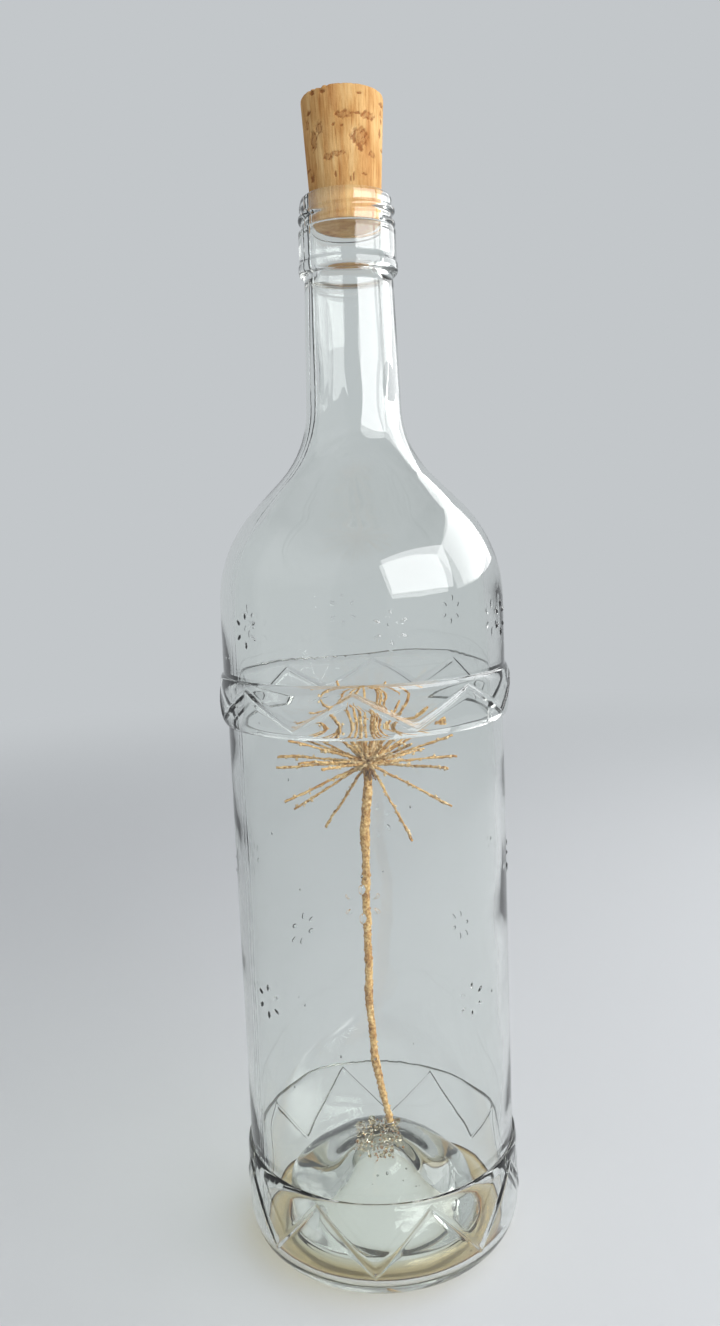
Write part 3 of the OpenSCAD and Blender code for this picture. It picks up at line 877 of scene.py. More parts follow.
def cork_skin():
    """Rings of the cork: middle of the low end, out to its edge, up the taper, and in
    over the top, with pits, crumbled edges and the unevenness of bark."""
    angles, draw = even_angles(CORK_COLUMNS), np.random.default_rng(SEED + 1)
    side = np.linspace(cork_z0 + CORK_ROUND, cork_z1 - CORK_ROUND, CORK_ROWS)
    taper = (cork_r1 - cork_r0) / (cork_z1 - cork_z0)
    side_r = cork_r0 + taper * (side - cork_z0)
    low = arc(side_r[0] - CORK_ROUND, side[0], CORK_ROUND, -90, 0, steps=6)
    high = arc(side_r[-1] - CORK_ROUND, side[-1], CORK_ROUND, 0, 90, steps=6)
    under = np.hstack([END_RINGS * low[0, 0], np.full_like(END_RINGS, cork_z0)])
    over = np.hstack([END_RINGS[::-1] * high[-1, 0], np.full_like(END_RINGS, cork_z1)])
    profile = np.concatenate([under, low, np.stack([side_r, side], -1)[1:-1], high, over])
    r = np.repeat(profile[:, :1], CORK_COLUMNS, 1)
    z = np.repeat(profile[:, 1:], CORK_COLUMNS, 1)
    pits, dark = pore_pits(angles, z, r)
    outer = np.clip((r - PORES_FROM * side_r[0]) / PORES_FADE, 0, 1)
    grain = np.abs(ripple(angles, z, GRAIN_WAVES))
    near_top = np.clip((z - (cork_z1 - CHIP_DEEP)) / CHIP_DEEP, 0, 1)
    near_rim = np.clip((r / cork_r1 - CHIPS_FROM) / (1 - CHIPS_FROM), 0, 1)
    chips = CHIP_MM * rim_chips(angles, draw) * near_top * near_rim
    edge = np.clip(1 - np.abs(z - cork_z1), 0, 1)
    r = r - pits * outer - grain - chips / 2 * (1 - edge)
    z = z - chips * edge
    points, faces = skin([zone(angles, r, z)], cork_z0, cork_z1 - CROWN_DIP)
    # The crumbled rim is darker the deeper it has crumbled
    tones = np.maximum(dark * outer, CHIP_DARK * chips).ravel()
    return points, faces, np.append(tones, [0, 0])


cork_points, cork_faces, cork_pores = cork_skin()
print("cork: points", len(cork_points), "share in pores:", round((cork_pores > 0.5).mean(), 3))

# %% [markdown]
# ## Cork's finish
# Natural cork is matt and warm. Its year rings show as soft broad bands that run up the
# stopper with hair-fine streaks in them, crossed by specks of cells, and its pores are
# lined with reddish woody dust. Bands and streaks come from noise that is stretched
# along the axis, specks from cells half a millimetre wide.

# %% Cork's tones
BAND_MM, STREAK_MM, CELL_MM, CLOUD_MM, GRIT_MM = 3.2, 0.5, 0.5, 9.0, 0.5
BAND_STRETCH, STREAK_STRETCH = 10, 25
GRIT_DEEP_MM = 0.18
BAND_TONES = ((0.30, "#CC965D"), (0.46, "#E0B478"), (0.58, "#E9C287"), (0.72, "#F1D19B"))
STREAK_TONES = ((0.30, "#C9A078"), (0.44, "#F3E6D6"), (0.60, "#FFFFFF"))
CLOUD_TONES = ((0.35, "#DFCBB0"), (0.62, "#FFFFFF"))
CELL_TONES = ((0.05, "#B99468"), (0.22, "#FFFFFF"))
DUST_TONES = ((0.1, "#6E3516"), (0.6, "#93552A"))
print("lightest cork in linear light:", np.round(linear(BAND_TONES[-1][1])[:3], 2))


# %% Cut natural cork
def natural_cork():
    """Bark cork, knife-cut and sanded: a matt surface with bands, streaks and pores."""
    material, tree = new_material("cut_natural_cork")
    place = add(tree, "ShaderNodeTexCoord").outputs["Object"]
    band_place = add(tree, "ShaderNodeMapping", Vector=place, Scale=(1, 1, 1 / BAND_STRETCH))
    streak_place = add(tree, "ShaderNodeMapping", Vector=place,
                       Scale=(1, 1, 1 / STREAK_STRETCH))
    band = add(tree, "ShaderNodeTexNoise", Vector=band_place.outputs["Vector"],
               Scale=1 / (BAND_MM * MM), Detail=3.0).outputs["Fac"]
    streak = add(tree, "ShaderNodeTexNoise", Vector=streak_place.outputs["Vector"],
                 Scale=1 / (STREAK_MM * MM), Detail=3.0, Roughness=0.65).outputs["Fac"]
    cells = add(tree, "ShaderNodeTexVoronoi", Vector=place,
                Scale=1 / (CELL_MM * MM)).outputs["Distance"]
    cloud = add(tree, "ShaderNodeTexNoise", Vector=place, Scale=1 / (CLOUD_MM * MM),
                Detail=3.0).outputs["Fac"]
    tone = add(tree, "ShaderNodeValToRGB", stops=BAND_TONES, Fac=band).outputs["Color"]
    for strength, pattern, stops in (
        (0.75, streak, STREAK_TONES), (0.70, cloud, CLOUD_TONES), (0.28, cells, CELL_TONES)
    ):
        layer = add(tree, "ShaderNodeValToRGB", stops=stops, Fac=pattern).outputs["Color"]
        tone = add(tree, "ShaderNodeMix", {"data_type": "RGBA", "blend_type": "MULTIPLY"},
                   Factor=strength, __6=tone, __7=layer).outputs["Result"]
    pore = add(tree, "ShaderNodeAttribute", {"attribute_name": "pore"}).outputs["Fac"]
    dark = add(tree, "ShaderNodeMapRange", Value=pore, __1=0.05, __2=0.95, __3=0.0, __4=0.88)
    dust = add(tree, "ShaderNodeValToRGB", stops=DUST_TONES, Fac=cells).outputs["Color"]
    final = add(tree, "ShaderNodeMix", {"data_type": "RGBA"}, Factor=dark.outputs["Result"],
                __6=tone, __7=dust)
    rough = add(tree, "ShaderNodeTexNoise", Vector=place, Scale=1 / (GRIT_MM * MM), Detail=3.0)
    bump = add(tree, "ShaderNodeBump", Strength=0.5, Distance=GRIT_DEEP_MM * MM,
               Height=rough.outputs["Fac"])
    surface = add(tree, "ShaderNodeBsdfPrincipled", Base_Color=final.outputs["Result"],
                  Roughness=0.85, Specular_IOR_Level=0.25, Normal=bump.outputs["Normal"])
    add(tree, "ShaderNodeOutputMaterial", Surface=surface.outputs["BSDF"])
    return material


cork = make_piece("tapered_natural_cork", cork_points, cork_faces, natural_cork())
cork.data.attributes.new("pore", "FLOAT", "POINT").data.foreach_set("value", cork_pores)
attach(cork, "cork")
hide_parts("cork_stopper")

# %% [markdown]
# ## The dried sprig
# The umbel's stem and rays are plant tubes of varying thickness, so each is a ring
# carried along a path. The stem bends in one slow curve. The rays leave the heart as
# far as their length goes, in the directions that the picture shows, and sag or lift a
# little at the tips. Crumbs of sugar cling to them, and small bracts hang under the
# heart, coloured dark brown as a painted shade under it. A tone for each point tells the
# material whether it is dark, plain or crusted.

# %% Tubes
TUBE_SIDES = 8
# A direction that no path follows, to turn every ring the same way
SIDEWAYS = (0.13, 0.99, 0.05)


def tube(path, radius, sides=TUBE_SIDES):
    """A closed tube: a ring of the given radius at each point of the path, square to the
    way it runs, and a point at both ends. Radius is one value a ring, or one a point."""
    way = np.gradient(path, axis=0)
    way /= np.linalg.norm(way, axis=1, keepdims=True)
    aside = np.cross(way, SIDEWAYS)
    aside /= np.linalg.norm(aside, axis=1, keepdims=True)
    other = np.cross(way, aside)
    turn = even_angles(sides)[None, :, None]
    radius = np.broadcast_to(np.asarray(radius, float), (sides, len(path))).T
    rings = path[:, None] + radius[..., None] * (
        np.cos(turn) * aside[:, None] + np.sin(turn) * other[:, None])
    count = len(path) * sides
    points = np.concatenate([rings.reshape(-1, 3), path[:1], path[-1:]])
    return points, np.concatenate([quads(0, len(path), sides), fan(0, sides, count),
                                   fan(count - sides, sides, count + 1)[:, ::-1]])


def gather(shapes):
    """Joins (points, faces) pairs into one."""
    firsts = np.cumsum([0] + [len(points) for points, _ in shapes[:-1]])
    return (np.concatenate([points for points, _ in shapes]),
            np.concatenate([faces + first for (_, faces), first in zip(shapes, firsts)]))


def waves_along(t, waves):
    """A sum of sines along a path. Each wave is (rate, phase, size)."""
    return sum(size * np.sin(rate * t + phase) for rate, phase, size in waves)


def cubic(pulls, t):
    """A value on a cubic Bezier curve with four pulls."""
    a, b, c, d = pulls
    return a * (1 - t) ** 3 + 3 * b * t * (1 - t) ** 2 + 3 * c * t * t * (1 - t) + d * t ** 3


print("halfway along a level cubic:", cubic((0.0, 0.0, 1.0, 1.0), 0.5))

# %% Stem
STEM_H, STEM_R = 120.6, 1.3
FOOT_MM = (2.8, 11.0)
REST_GAP = 0.12
STEM_X = STEM_H * np.array([0.0232, -0.0307, -0.0323, 0.0009])
STEM_Y = FOOT_MM[1] * np.array([1.0, 0.72, 0.3, 0.0])
STEM_RISE = (0.0, 0.25, 0.63, 1.0)
HEART_MM = np.array([STEM_X[3], 0.0, PUNT_H + STEM_H])
STEM_SIDES, STEM_RINGS = 12, 170
# Waves along the stem: of its way in mm, and of its thickness as a share
STEM_SWAY, SWAY_GROWTH = ((23, 0, 0.12), (41, 1, 0.09)), 8
STEM_LUMPS = ((63, 0, 0.06), (29, 2, 0.05))
# Share of the way up, and the share of the radius there
STEM_THICK = (0, 0.02, 0.1, 0.8, 0.97, 1), (0.7, 0.85, 0.86, 0.98, 1.1, 1.6)
STEM_RIBS, STEM_MOST = 0.10, 1.7


def stem_shape(draw):
    """The stem: its curve, with nodes where it thickens and fine ribs round it."""
    t = np.linspace(0, 1, STEM_RINGS)
    foot_z = punt_height(FOOT_MM[0], FOOT_MM[1] - STEM_R) + REST_GAP
    rise = cubic(STEM_RISE, t) * (HEART_MM[2] - foot_z) + foot_z
    sway = waves_along(t, STEM_SWAY) * np.minimum(t * SWAY_GROWTH, 1)
    path = np.stack([cubic(STEM_X, t) + sway, cubic(STEM_Y, t), rise], -1)
    thick = STEM_R * (1 + waves_along(t, STEM_LUMPS)) * np.interp(t, *STEM_THICK)
    ribs = 1 + STEM_RIBS * draw.standard_normal((STEM_SIDES, STEM_RINGS))
    return tube(path, np.minimum(thick * ribs, STEM_R * STEM_MOST), STEM_SIDES), path


print("the stem's foot is over the floor by, mm:", np.round(punt_height(*FOOT_MM), 1))

# %% Rays
RAY_L, RAY_R, RAY_RINGS = 27.6, 0.34, 26
# Turn in the picture's plane and lean towards the viewer, in degrees
RAYS = np.array([
    (157, 27), (176, -4), (178, 13), (163, 61), (201, 9), (211, -7), (238, -19), (296, -3),
    (332, 7), (3, 35), (2, -3), (359, -47), (19, 10), (29, -1), (37, -29),
    (46, 21), (54, -44), (61, 36), (68, -30), (80, 20), (89, -34), (95, 40), (102, -16),
    (117, 42), (128, -32), (134, 18), (140, -22), (165, -24), (70, 66), (112, -68),
    (200, -58), (340, -62), (262, -74), (24, -40), (38, 52), (54, -8), (75, 4),
    (84, 38), (97, 8), (108, -6), (122, 12), (146, -48), (152, 4), (171, 34), (50, -64)
], float)
# The first rays show plainly and keep their full length
PLAIN_RAYS, OTHER_SHARES = 17, (0.84, 0.98)
RAY_BEND, RAY_BOW, RAY_WAVES = 1.3, 0.6, ((9, 0, 0.35),)
RAY_THICK = (0, 0.1, 0.2, 0.5, 0.93, 1), (3.2, 1.9, 1.2, 0.95, 1.15, 1.0)
RAY_LUMPS, RAY_R_RANGE = 0.28, (0.15, 1.3)


def ray_direction(turn, lean):
    """Unit vector: the turn lies in the plane of X and Z, the lean takes it to -Y."""
    turn, lean = np.radians(turn), np.radians(lean)
    flat = np.cos(lean)
    return np.stack([flat * np.cos(turn), -np.sin(lean), flat * np.sin(turn)], -1)


def ray_shapes(draw):
    """Each ray from the heart outwards: a line with a slow bend, thicker at its root and
    a little at its tip, where the flowers sat."""
    shapes, paths = [], []
    t = np.linspace(0, 1, RAY_RINGS)
    for i, (turn, lean) in enumerate(RAYS):
        way = ray_direction(turn, lean)
        bend = draw.uniform(-1, 1, 3) * RAY_BEND / 2
        bend -= way * bend.dot(way)
        length = RAY_L * (1 if i < PLAIN_RAYS else draw.uniform(*OTHER_SHARES))
        path = HEART_MM + np.outer(t * length, way)
        path += np.outer(RAY_BOW * np.sin(t * math.pi) + waves_along(t, RAY_WAVES), bend)
        lumps = 1 + RAY_LUMPS * draw.standard_normal((TUBE_SIDES, RAY_RINGS))
        thick = RAY_R * np.interp(t, *RAY_THICK) * lumps
        shapes.append(tube(path, np.clip(thick, *RAY_R_RANGE)))
        paths.append(path)
    return shapes, paths


draw = np.random.default_rng(SEED)
rays, ray_paths = ray_shapes(draw)
stem, stem_path = stem_shape(draw)
print("rays:", len(rays), "points on the stem:", len(stem[0]))

# %% Crumbs
CRUMB_MM, CRUMB_CORNERS = (0.32, 0.80), (0.6, 1.2)
CRUMBS_PER_RAY, RAY_CRUMBS_BETA, CRUMB_SPREAD = 18, (1.0, 1.15), 0.33
STEM_CRUMBS, STEM_CRUMBS_BETA, STEM_CRUMB_SHARE, SUNK = 190, (0.8, 0.7), 0.6, 0.93


def crumb(centre, size, draw):
    """A crumb: an octahedron with its six corners pushed in and out."""
    corners = np.concatenate([np.eye(3), -np.eye(3)])
    corners = corners * draw.uniform(*CRUMB_CORNERS, (6, 1)) * size
    faces = np.array([(0, 1, 2), (1, 3, 2), (3, 4, 2), (4, 0, 2),
                      (1, 0, 5), (3, 1, 5), (4, 3, 5), (0, 4, 5)])
    turned = corners @ np.linalg.qr(draw.standard_normal((3, 3)))[0]
    return centre + turned, faces


def crumbs(paths, draw, each):
    """Crumbs scattered along the rays, more of them near the heart."""
    shapes = []
    for path in paths:
        for t in draw.beta(*RAY_CRUMBS_BETA, each):
            at = path[int(t * (len(path) - 1))] + draw.normal(0, CRUMB_SPREAD, 3)
            shapes.append(crumb(at, draw.uniform(*CRUMB_MM), draw))
    return shapes


def stem_crumbs(path, draw):
    """Smaller crumbs on the stem's skin, most of them at its foot and at its top."""
    shapes = []
    for t in draw.beta(*STEM_CRUMBS_BETA, STEM_CRUMBS):
        aside = draw.standard_normal(3) * (1, 1, 0)
        at = path[int(t * (len(path) - 1))] + aside * SUNK * STEM_R / np.linalg.norm(aside)
        shapes.append(crumb(at, STEM_CRUMB_SHARE * draw.uniform(*CRUMB_MM), draw))
    return shapes


stem_grains = stem_crumbs(stem_path, draw)
ray_grains = crumbs(ray_paths, draw, CRUMBS_PER_RAY)
print("crumbs:", len(stem_grains) + len(ray_grains))

# %% Heart, stubs and bracts
SHORT_SIDES = 6
# How many, and the ranges of turn, lean and length
STUBS, STUB_RANGES = 70, ((-20, 200), (-80, 80), (3.0, 8.5))
BRACTS, BRACT_RANGES = 9, ((240, 300), (-70, 70), (3.0, 5.0))
STUB_R, STUB_ROOT, STUB_ROUGH = 0.55, 1.5, 0.12
BRACT_R, BRACT_ROOT, BRACT_POINT, BRACT_DROP = 0.75, 1.15, 0.7, 1.2
HEART_R, HEART_POLE, POLE_ANGLE, HEART_RINGS, HEART_COLUMNS = 2.5, 2.6, 0.12, 14, 24
# Lumps of the heart: waves round it, waves from pole to pole, size as a share
HEART_LUMPS = ((5, 3, 0.14), (8, -5, 0.10))


def from_heart(draw, count, ranges, rings):
    """Straight paths from the heart outwards, with turn, lean and length from ranges."""
    t = np.linspace(0, 1, rings)
    drawn = [draw.uniform(low, high, count) for low, high in ranges]
    return t, [HEART_MM + np.outer(t * length, ray_direction(turn, lean))
               for turn, lean, length in zip(*drawn)]


def stubs(draw):
    """The rays' broken companions: short thick stalks that fill the heart. Their radius
    falls in a straight line from root to tip, and their way is rough."""
    t, paths = from_heart(draw, STUBS, STUB_RANGES, rings=5)
    thick = STUB_R * (STUB_ROOT - t)
    return [tube(path + draw.normal(0, STUB_ROUGH, path.shape), thick, SHORT_SIDES)
            for path in paths]


# The bracts' dark colour, set in the material, is painted shade under the heart
def bracts(draw):
    """Bracts: short pointed leaflets that hang from the heart round the stem. They drop
    with the square of the way out, and their radius falls by a power of what is left."""
    t, paths = from_heart(draw, BRACTS, BRACT_RANGES, rings=6)
    drop = BRACT_DROP * t[:, None] ** 2 * (0, 0, 1)
    thick = BRACT_R * (BRACT_ROOT - t) ** BRACT_POINT
    return [tube(path - drop, thick, SHORT_SIDES) for path in paths]


def heart_shape():
    """The heart: a lumpy ball where all rays meet, its radius wavering in two sines."""
    steep = np.linspace(POLE_ANGLE, math.pi - POLE_ANGLE, HEART_RINGS)[:, None]
    angles = even_angles(HEART_COLUMNS)
    r = HEART_R * (1 + sum(share * np.sin(round_it * angles + up * steep)
                           for round_it, up, share in HEART_LUMPS))
    part = zone(angles, r * np.sin(steep), -r * np.cos(steep))
    points, faces = skin([part], -HEART_POLE, HEART_POLE)
    return points + HEART_MM, faces


print("points of the heart:", len(heart_shape()[0]))

# %% The whole sprig
# DARK marks the bracts, whose dark brown is painted shade under the heart
DARK, PLAIN, PALE = 0.0, 0.5, 1.0
sprig_shapes = [(shape, tone) for shapes, tone in (
    ([stem, heart_shape(), *rays, *stem_grains], PLAIN),
    ([*ray_grains, *stubs(draw)], PALE), (bracts(draw), DARK)
) for shape in shapes]
sprig_points, sprig_faces = gather([shape for shape, _ in sprig_shapes])
sprig_tone = np.concatenate([np.full(len(shape[0]), tone) for shape, tone in sprig_shapes])
print("shapes in the sprig:", len(sprig_shapes))

# %% [markdown]
# ## Straw and sugar
# A dry stalk is straw coloured with darker ribs, and dull. It lets a little light in,
# but so little at this width that a plain dull surface does it. The crumbs are in the
# same piece: they are sugar stained by the plant.

# %% Dry stalk
FIBRE_MM, FIBRE_DEEP_MM, WEAR_MM = 0.9, 0.2, 7.0
STRAW_TONES = ((0.30, "#90683B"), (0.43, "#BE945C"), (0.54, "#DAB57A"), (0.68, "#F0D8A8"))
WORN_TONES = ((0.35, "#CBAE8A"), (0.6, "#FFFFFF"))


def dry_stalk():
    """Dried plant stem: dull straw with long fibres and stained crumbs."""
    material, tree = new_material("dried_plant_stalk")
    place = add(tree, "ShaderNodeTexCoord").outputs["Object"]
    fibre = add(tree, "ShaderNodeTexNoise", Vector=place, Scale=1 / (FIBRE_MM * MM), Detail=4.0)
    wear = add(tree, "ShaderNodeTexNoise", Vector=place, Scale=1 / (WEAR_MM * MM), Detail=2.0)
    straw = add(tree, "ShaderNodeValToRGB", stops=STRAW_TONES, Fac=fibre.outputs["Fac"])
    worn = add(tree, "ShaderNodeValToRGB", stops=WORN_TONES, Fac=wear.outputs["Fac"])
    mixed = add(tree, "ShaderNodeMix", {"data_type": "RGBA", "blend_type": "MULTIPLY"},
                Factor=0.7, __6=straw.outputs["Color"], __7=worn.outputs["Color"])
    tone = add(tree, "ShaderNodeAttribute", {"attribute_name": "tone"}).outputs["Fac"]
    # Bracts are mixed towards dark brown: painted shade under the heart
    bract_shade_share = add(tree, "ShaderNodeMapRange", Value=tone, __1=DARK, __2=PLAIN, __3=0.8, __4=0.0)
    with_bract_shade = add(tree, "ShaderNodeMix", {"data_type": "RGBA"}, Factor=bract_shade_share.outputs["Result"],
                  __6=mixed.outputs["Result"], __7=linear("#5E4028"))
    grain = add(tree, "ShaderNodeMapRange", Value=tone, __1=PLAIN, __2=PALE, __3=0.0, __4=0.55)
    crusted = add(tree, "ShaderNodeMix", {"data_type": "RGBA"}, Factor=grain.outputs["Result"],
                  __6=with_bract_shade.outputs["Result"], __7=linear("#EAD6AE"))
    bump = add(tree, "ShaderNodeBump", Strength=0.6, Distance=FIBRE_DEEP_MM * MM,
               Height=fibre.outputs["Fac"])
    surface = add(tree, "ShaderNodeBsdfPrincipled", Base_Color=crusted.outputs["Result"],
                  Roughness=0.75, Specular_IOR_Level=0.3, Normal=bump.outputs["Normal"])
    add(tree, "ShaderNodeOutputMaterial", Surface=surface.outputs["BSDF"])
    return material


sprig = make_piece("dried_umbel_sprig", sprig_points, sprig_faces, dry_stalk())
sprig.data.attributes.new("tone", "FLOAT", "POINT").data.foreach_set("value", sprig_tone)
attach(sprig, "bottle")
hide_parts("dried_sprig")

# %% [markdown]
# ## Sugar crystals
# Syrup dried on the crown of the kick-up into a patch of small clear blocks with
# bevelled ends. One block is two dozen corners, repeated with its own size and turn and
# set down along a spiral, which spreads them evenly without rows. Light passes through
# them nearly as through water, so the brown specks strewn between them still show.

# %% One block
BLOCK_SIDES = 6
BLOCK_NARROW = 0.62
GIRDLE_H, END_H = 0.2, 0.45


def crystal_block():
    """A block with a girdle of six corners, narrower one way than the other, and two
    slanted ends: four rings of corners and a point at both ends."""
    turn = even_angles(BLOCK_SIDES)
    ring = np.stack([np.cos(turn), BLOCK_NARROW * np.sin(turn)], -1)
    levels = ((BLOCK_NARROW, -END_H), (1.0, -GIRDLE_H), (1.0, GIRDLE_H), (BLOCK_NARROW, END_H))
    corners = np.concatenate([
        *(np.c_[ring * share, np.full(BLOCK_SIDES, height)] for share, height in levels),
        [[0, 0, -END_H], [0, 0, END_H]]
    ])
    count = len(levels) * BLOCK_SIDES
    faces = np.concatenate([
        quads(0, len(levels), BLOCK_SIDES), fan(0, BLOCK_SIDES, count),
        fan(count - BLOCK_SIDES, BLOCK_SIDES, count + 1)[:, ::-1]
    ])
    return corners, faces


print("corners of a block:", len(crystal_block()[0]))

# %% Crystals and specks
CRUST_X, CRUST_Y, CRUST_W, CRUST_D = -1.0, 2.2, 7.5, 11.8
CRYSTALS, CRYSTAL_MM, RIM_CRYSTAL_SHARE = 70, (1.0, 3.0), 0.65
CRYSTAL_R_SHARE, CRYSTAL_LIFT_SHARE = 0.55, 0.25
SPECKS, SPECK_MM, SPECK_LIFT = 70, (0.24, 0.46), 0.25
CRYSTAL_REACH, SPECK_REACH = 0.93, 1.08
# The largest crystals stand behind the patch's middle: x, y and length
LARGEST_MM = np.array([(-3.4, 9.6, 4.4), (-7.0, 8.2, 3.8), (4.8, 9.4, 3.2)])
GOLDEN = math.radians(137.508)


def crust_place(out, turn):
    """A place in the oval patch: its share of the way out, and the turn that it lies at."""
    return CRUST_X + CRUST_W * out * np.cos(turn), CRUST_Y + CRUST_D * out * np.sin(turn)


def crystal_blocks(draw):
    """Blocks on a spiral that turns by the golden angle each step, while the way out
    grows with the root of the count. All corners are one array."""
    block, block_faces = crystal_block()
    k = np.arange(CRYSTALS)
    out = CRYSTAL_REACH * np.sqrt((k + 0.5) / CRYSTALS)
    x, y = crust_place(out, k * GOLDEN)
    size = draw.uniform(*CRYSTAL_MM, CRYSTALS) * np.interp(out, [0, 1], [1, RIM_CRYSTAL_SHARE])
    x[:len(LARGEST_MM)], y[:len(LARGEST_MM)], size[:len(LARGEST_MM)] = LARGEST_MM.T
    turns = np.linalg.qr(draw.standard_normal((CRYSTALS, 3, 3)))[0]
    turns *= np.sign(np.linalg.det(turns))[:, None, None]
    lift = punt_height(x, y) + CRYSTAL_LIFT_SHARE * size + REST_GAP
    corners = np.einsum("ij,kjl->kil", block, turns) * size[:, None, None] * CRYSTAL_R_SHARE
    corners += np.stack([x, y, lift], -1)[:, None]
    faces = block_faces[None] + (k * len(block))[:, None, None]
    return corners.reshape(-1, 3), faces.reshape(-1, 3)


def brown_specks(draw):
    """Burnt specks: crumbs strewn at random over the patch and a little past it."""
    out, turn = np.sqrt(draw.uniform(0, 1, SPECKS)), draw.uniform(0, TURN, SPECKS)
    x, y = crust_place(SPECK_REACH * out, turn)
    places = np.stack([x, y, punt_height(x, y) + SPECK_LIFT], -1)
    return [crumb(place, size, draw)
            for place, size in zip(places, draw.uniform(*SPECK_MM, SPECKS))]


blocks = crystal_blocks(draw)
crust_points, crust_faces = gather([blocks, *brown_specks(draw)])
resting_z = punt_height(crust_points[:, 0], crust_points[:, 1]) + REST_GAP
crust_points[:, 2] = np.maximum(crust_points[:, 2], resting_z)
print("crystals and specks reach, mm:", crust_points.min(0).round(1), crust_points.max(0).round(1))

# %% Sugar
SUGAR_IOR = 1.32
STAIN_MM = 0.9
SUGAR_TONES = ((0.33, "#8A6230"), (0.40, "#E2CC96"), (0.47, "#F6EED6"), (0.58, "#FEFBF3"))


def sugar():
    """Sugar candy wet with syrup: clear, with crisp flat faces and brown specks. Syrup
    lies round the crystals, so light bends at them less than at dry ones in air."""
    material, tree = new_material("dried_sugar_crystal")
    place = add(tree, "ShaderNodeTexCoord").outputs["Object"]
    cloud = add(tree, "ShaderNodeTexNoise", Vector=place, Scale=1 / (STAIN_MM * MM),
                Detail=1.0)
    tint = add(tree, "ShaderNodeValToRGB", stops=SUGAR_TONES, Fac=cloud.outputs["Fac"])
    surface = add(tree, "ShaderNodeBsdfPrincipled", Base_Color=tint.outputs["Color"],
                  IOR=SUGAR_IOR, Roughness=0.02, Transmission_Weight=1.0)
    burnt = add(tree, "ShaderNodeBsdfPrincipled", Base_Color=linear("#8A5A26"), Roughness=0.5)
    speck = add(tree, "ShaderNodeAttribute", {"attribute_name": "speck"}).outputs["Fac"]
    mixed = add(tree, "ShaderNodeMixShader", __0=speck, __1=surface.outputs["BSDF"],
                __2=burnt.outputs["BSDF"])
    shown = let_lamps_through(tree, mixed.outputs["Shader"], "#E8DFC8")
    add(tree, "ShaderNodeOutputMaterial", Surface=shown)
    return material


crust = make_piece("sugar_crystal_crust", crust_points, crust_faces, sugar(), smooth=False)
crust.data.attributes.new("speck", "FLOAT", "POINT").data.foreach_set(
    "value", (np.arange(len(crust_points)) >= len(blocks[0])).astype(float))
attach(crust, "bottle")
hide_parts("sugar_crust")

# %% [markdown]
# ## The last of the liquor
# What ran down the sprig stands in the gutter round the kick-up: an amber ring with a
# dark tide line at its edge. Its section is the gutter's own round floor, cut level,
# with a little climb at both walls where the liquid wets the glass.

# %% Liquor residue
RESIDUE_DEPTH, RESIDUE_GAP, CLIMB, CLIMB_STEEP = 1.5, 0.08, 0.9, 6
TOP_RINGS = 13


def residue_skin():
    """A ring-shaped body: the gutter's arc below, and a level top that climbs at both
    edges by a power of the way from its middle. The section closes on itself, so the
    skin is a torus and has no poles."""
    level = BASE_T + RESIDUE_DEPTH
    deep = gutter_round - RESIDUE_GAP
    start = math.degrees(math.asin((gutter_z - level - CLIMB) / deep))
    floor = arc(gutter_r, gutter_z, deep, -start, -180 + start, steps=20)
    across = np.linspace(-1, 1, TOP_RINGS + 2)[1:-1]
    top_r = gutter_r + across * (floor[0, 0] - gutter_r)
    top = np.stack([top_r, level + CLIMB * np.abs(across) ** CLIMB_STEEP], -1)
    section = np.concatenate([floor, top])
    n = len(section)
    last = quads(0, 2, INNER_COLUMNS)
    wrapped = np.where(last >= INNER_COLUMNS, last - INNER_COLUMNS, last + (n - 1) * INNER_COLUMNS)
    faces = np.concatenate([quads(0, n, INNER_COLUMNS), wrapped])
    return ring_points(plain(section, even_angles(INNER_COLUMNS))), faces


residue_points, residue_faces = residue_skin()
print("residue from, mm:", residue_points[:, 2].min().round(2),
      "to", residue_points[:, 2].max().round(2))

# %% Amber liquor
LIQUOR_DENSITY, LIQUOR_IOR, TIDE_MM = 330.0, 1.12, 1.3
TIDE_TONES = ((0.0, "#FBF8EE"), (0.55, "#E9D29A"), (0.85, "#7A5420"), (1.0, "#4A3014"))
RESIDUE_EDGE_R = gutter_r + math.sqrt(
    (gutter_round - RESIDUE_GAP) ** 2 - (gutter_round - RESIDUE_DEPTH - CLIMB) ** 2)


def amber_liquor():
    """Liquor: clear amber, darker where more of it lies in the way of the light, and
    brown where it has dried at the outer wall. Real liquor wets the glass. Here a hair's
    gap lies between them, and bending light only a little keeps it from showing."""
    material, tree = new_material("amber_liquor_residue")
    place = add(tree, "ShaderNodeTexCoord").outputs["Object"]
    level = add(tree, "ShaderNodeVectorMath", {"operation": "MULTIPLY"}, __0=place,
                __1=(1.0, 1.0, 0.0))
    out = add(tree, "ShaderNodeVectorMath", {"operation": "LENGTH"}, __0=level.outputs["Vector"])
    edge = add(tree, "ShaderNodeMapRange", Value=out.outputs["Value"],
               __1=(RESIDUE_EDGE_R - TIDE_MM) * MM, __2=RESIDUE_EDGE_R * MM)
    tide = add(tree, "ShaderNodeValToRGB", stops=TIDE_TONES, Fac=edge.outputs["Result"])
    surface = add(tree, "ShaderNodeBsdfPrincipled", Base_Color=tide.outputs["Color"],
                  IOR=LIQUOR_IOR, Roughness=0.0, Transmission_Weight=1.0)
    shown = let_lamps_through(tree, surface.outputs["BSDF"], "#F6F1E0")
    body = add(tree, "ShaderNodeVolumeAbsorption", Color=linear("#F0CE4A"),
               Density=LIQUOR_DENSITY)
    add(tree, "ShaderNodeOutputMaterial", Surface=shown, Volume=body.outputs["Volume"])
    return material


residue = make_piece("liquor_residue_ring", residue_points, residue_faces, amber_liquor())
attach(residue, "bottle")
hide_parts("liquor_residue")

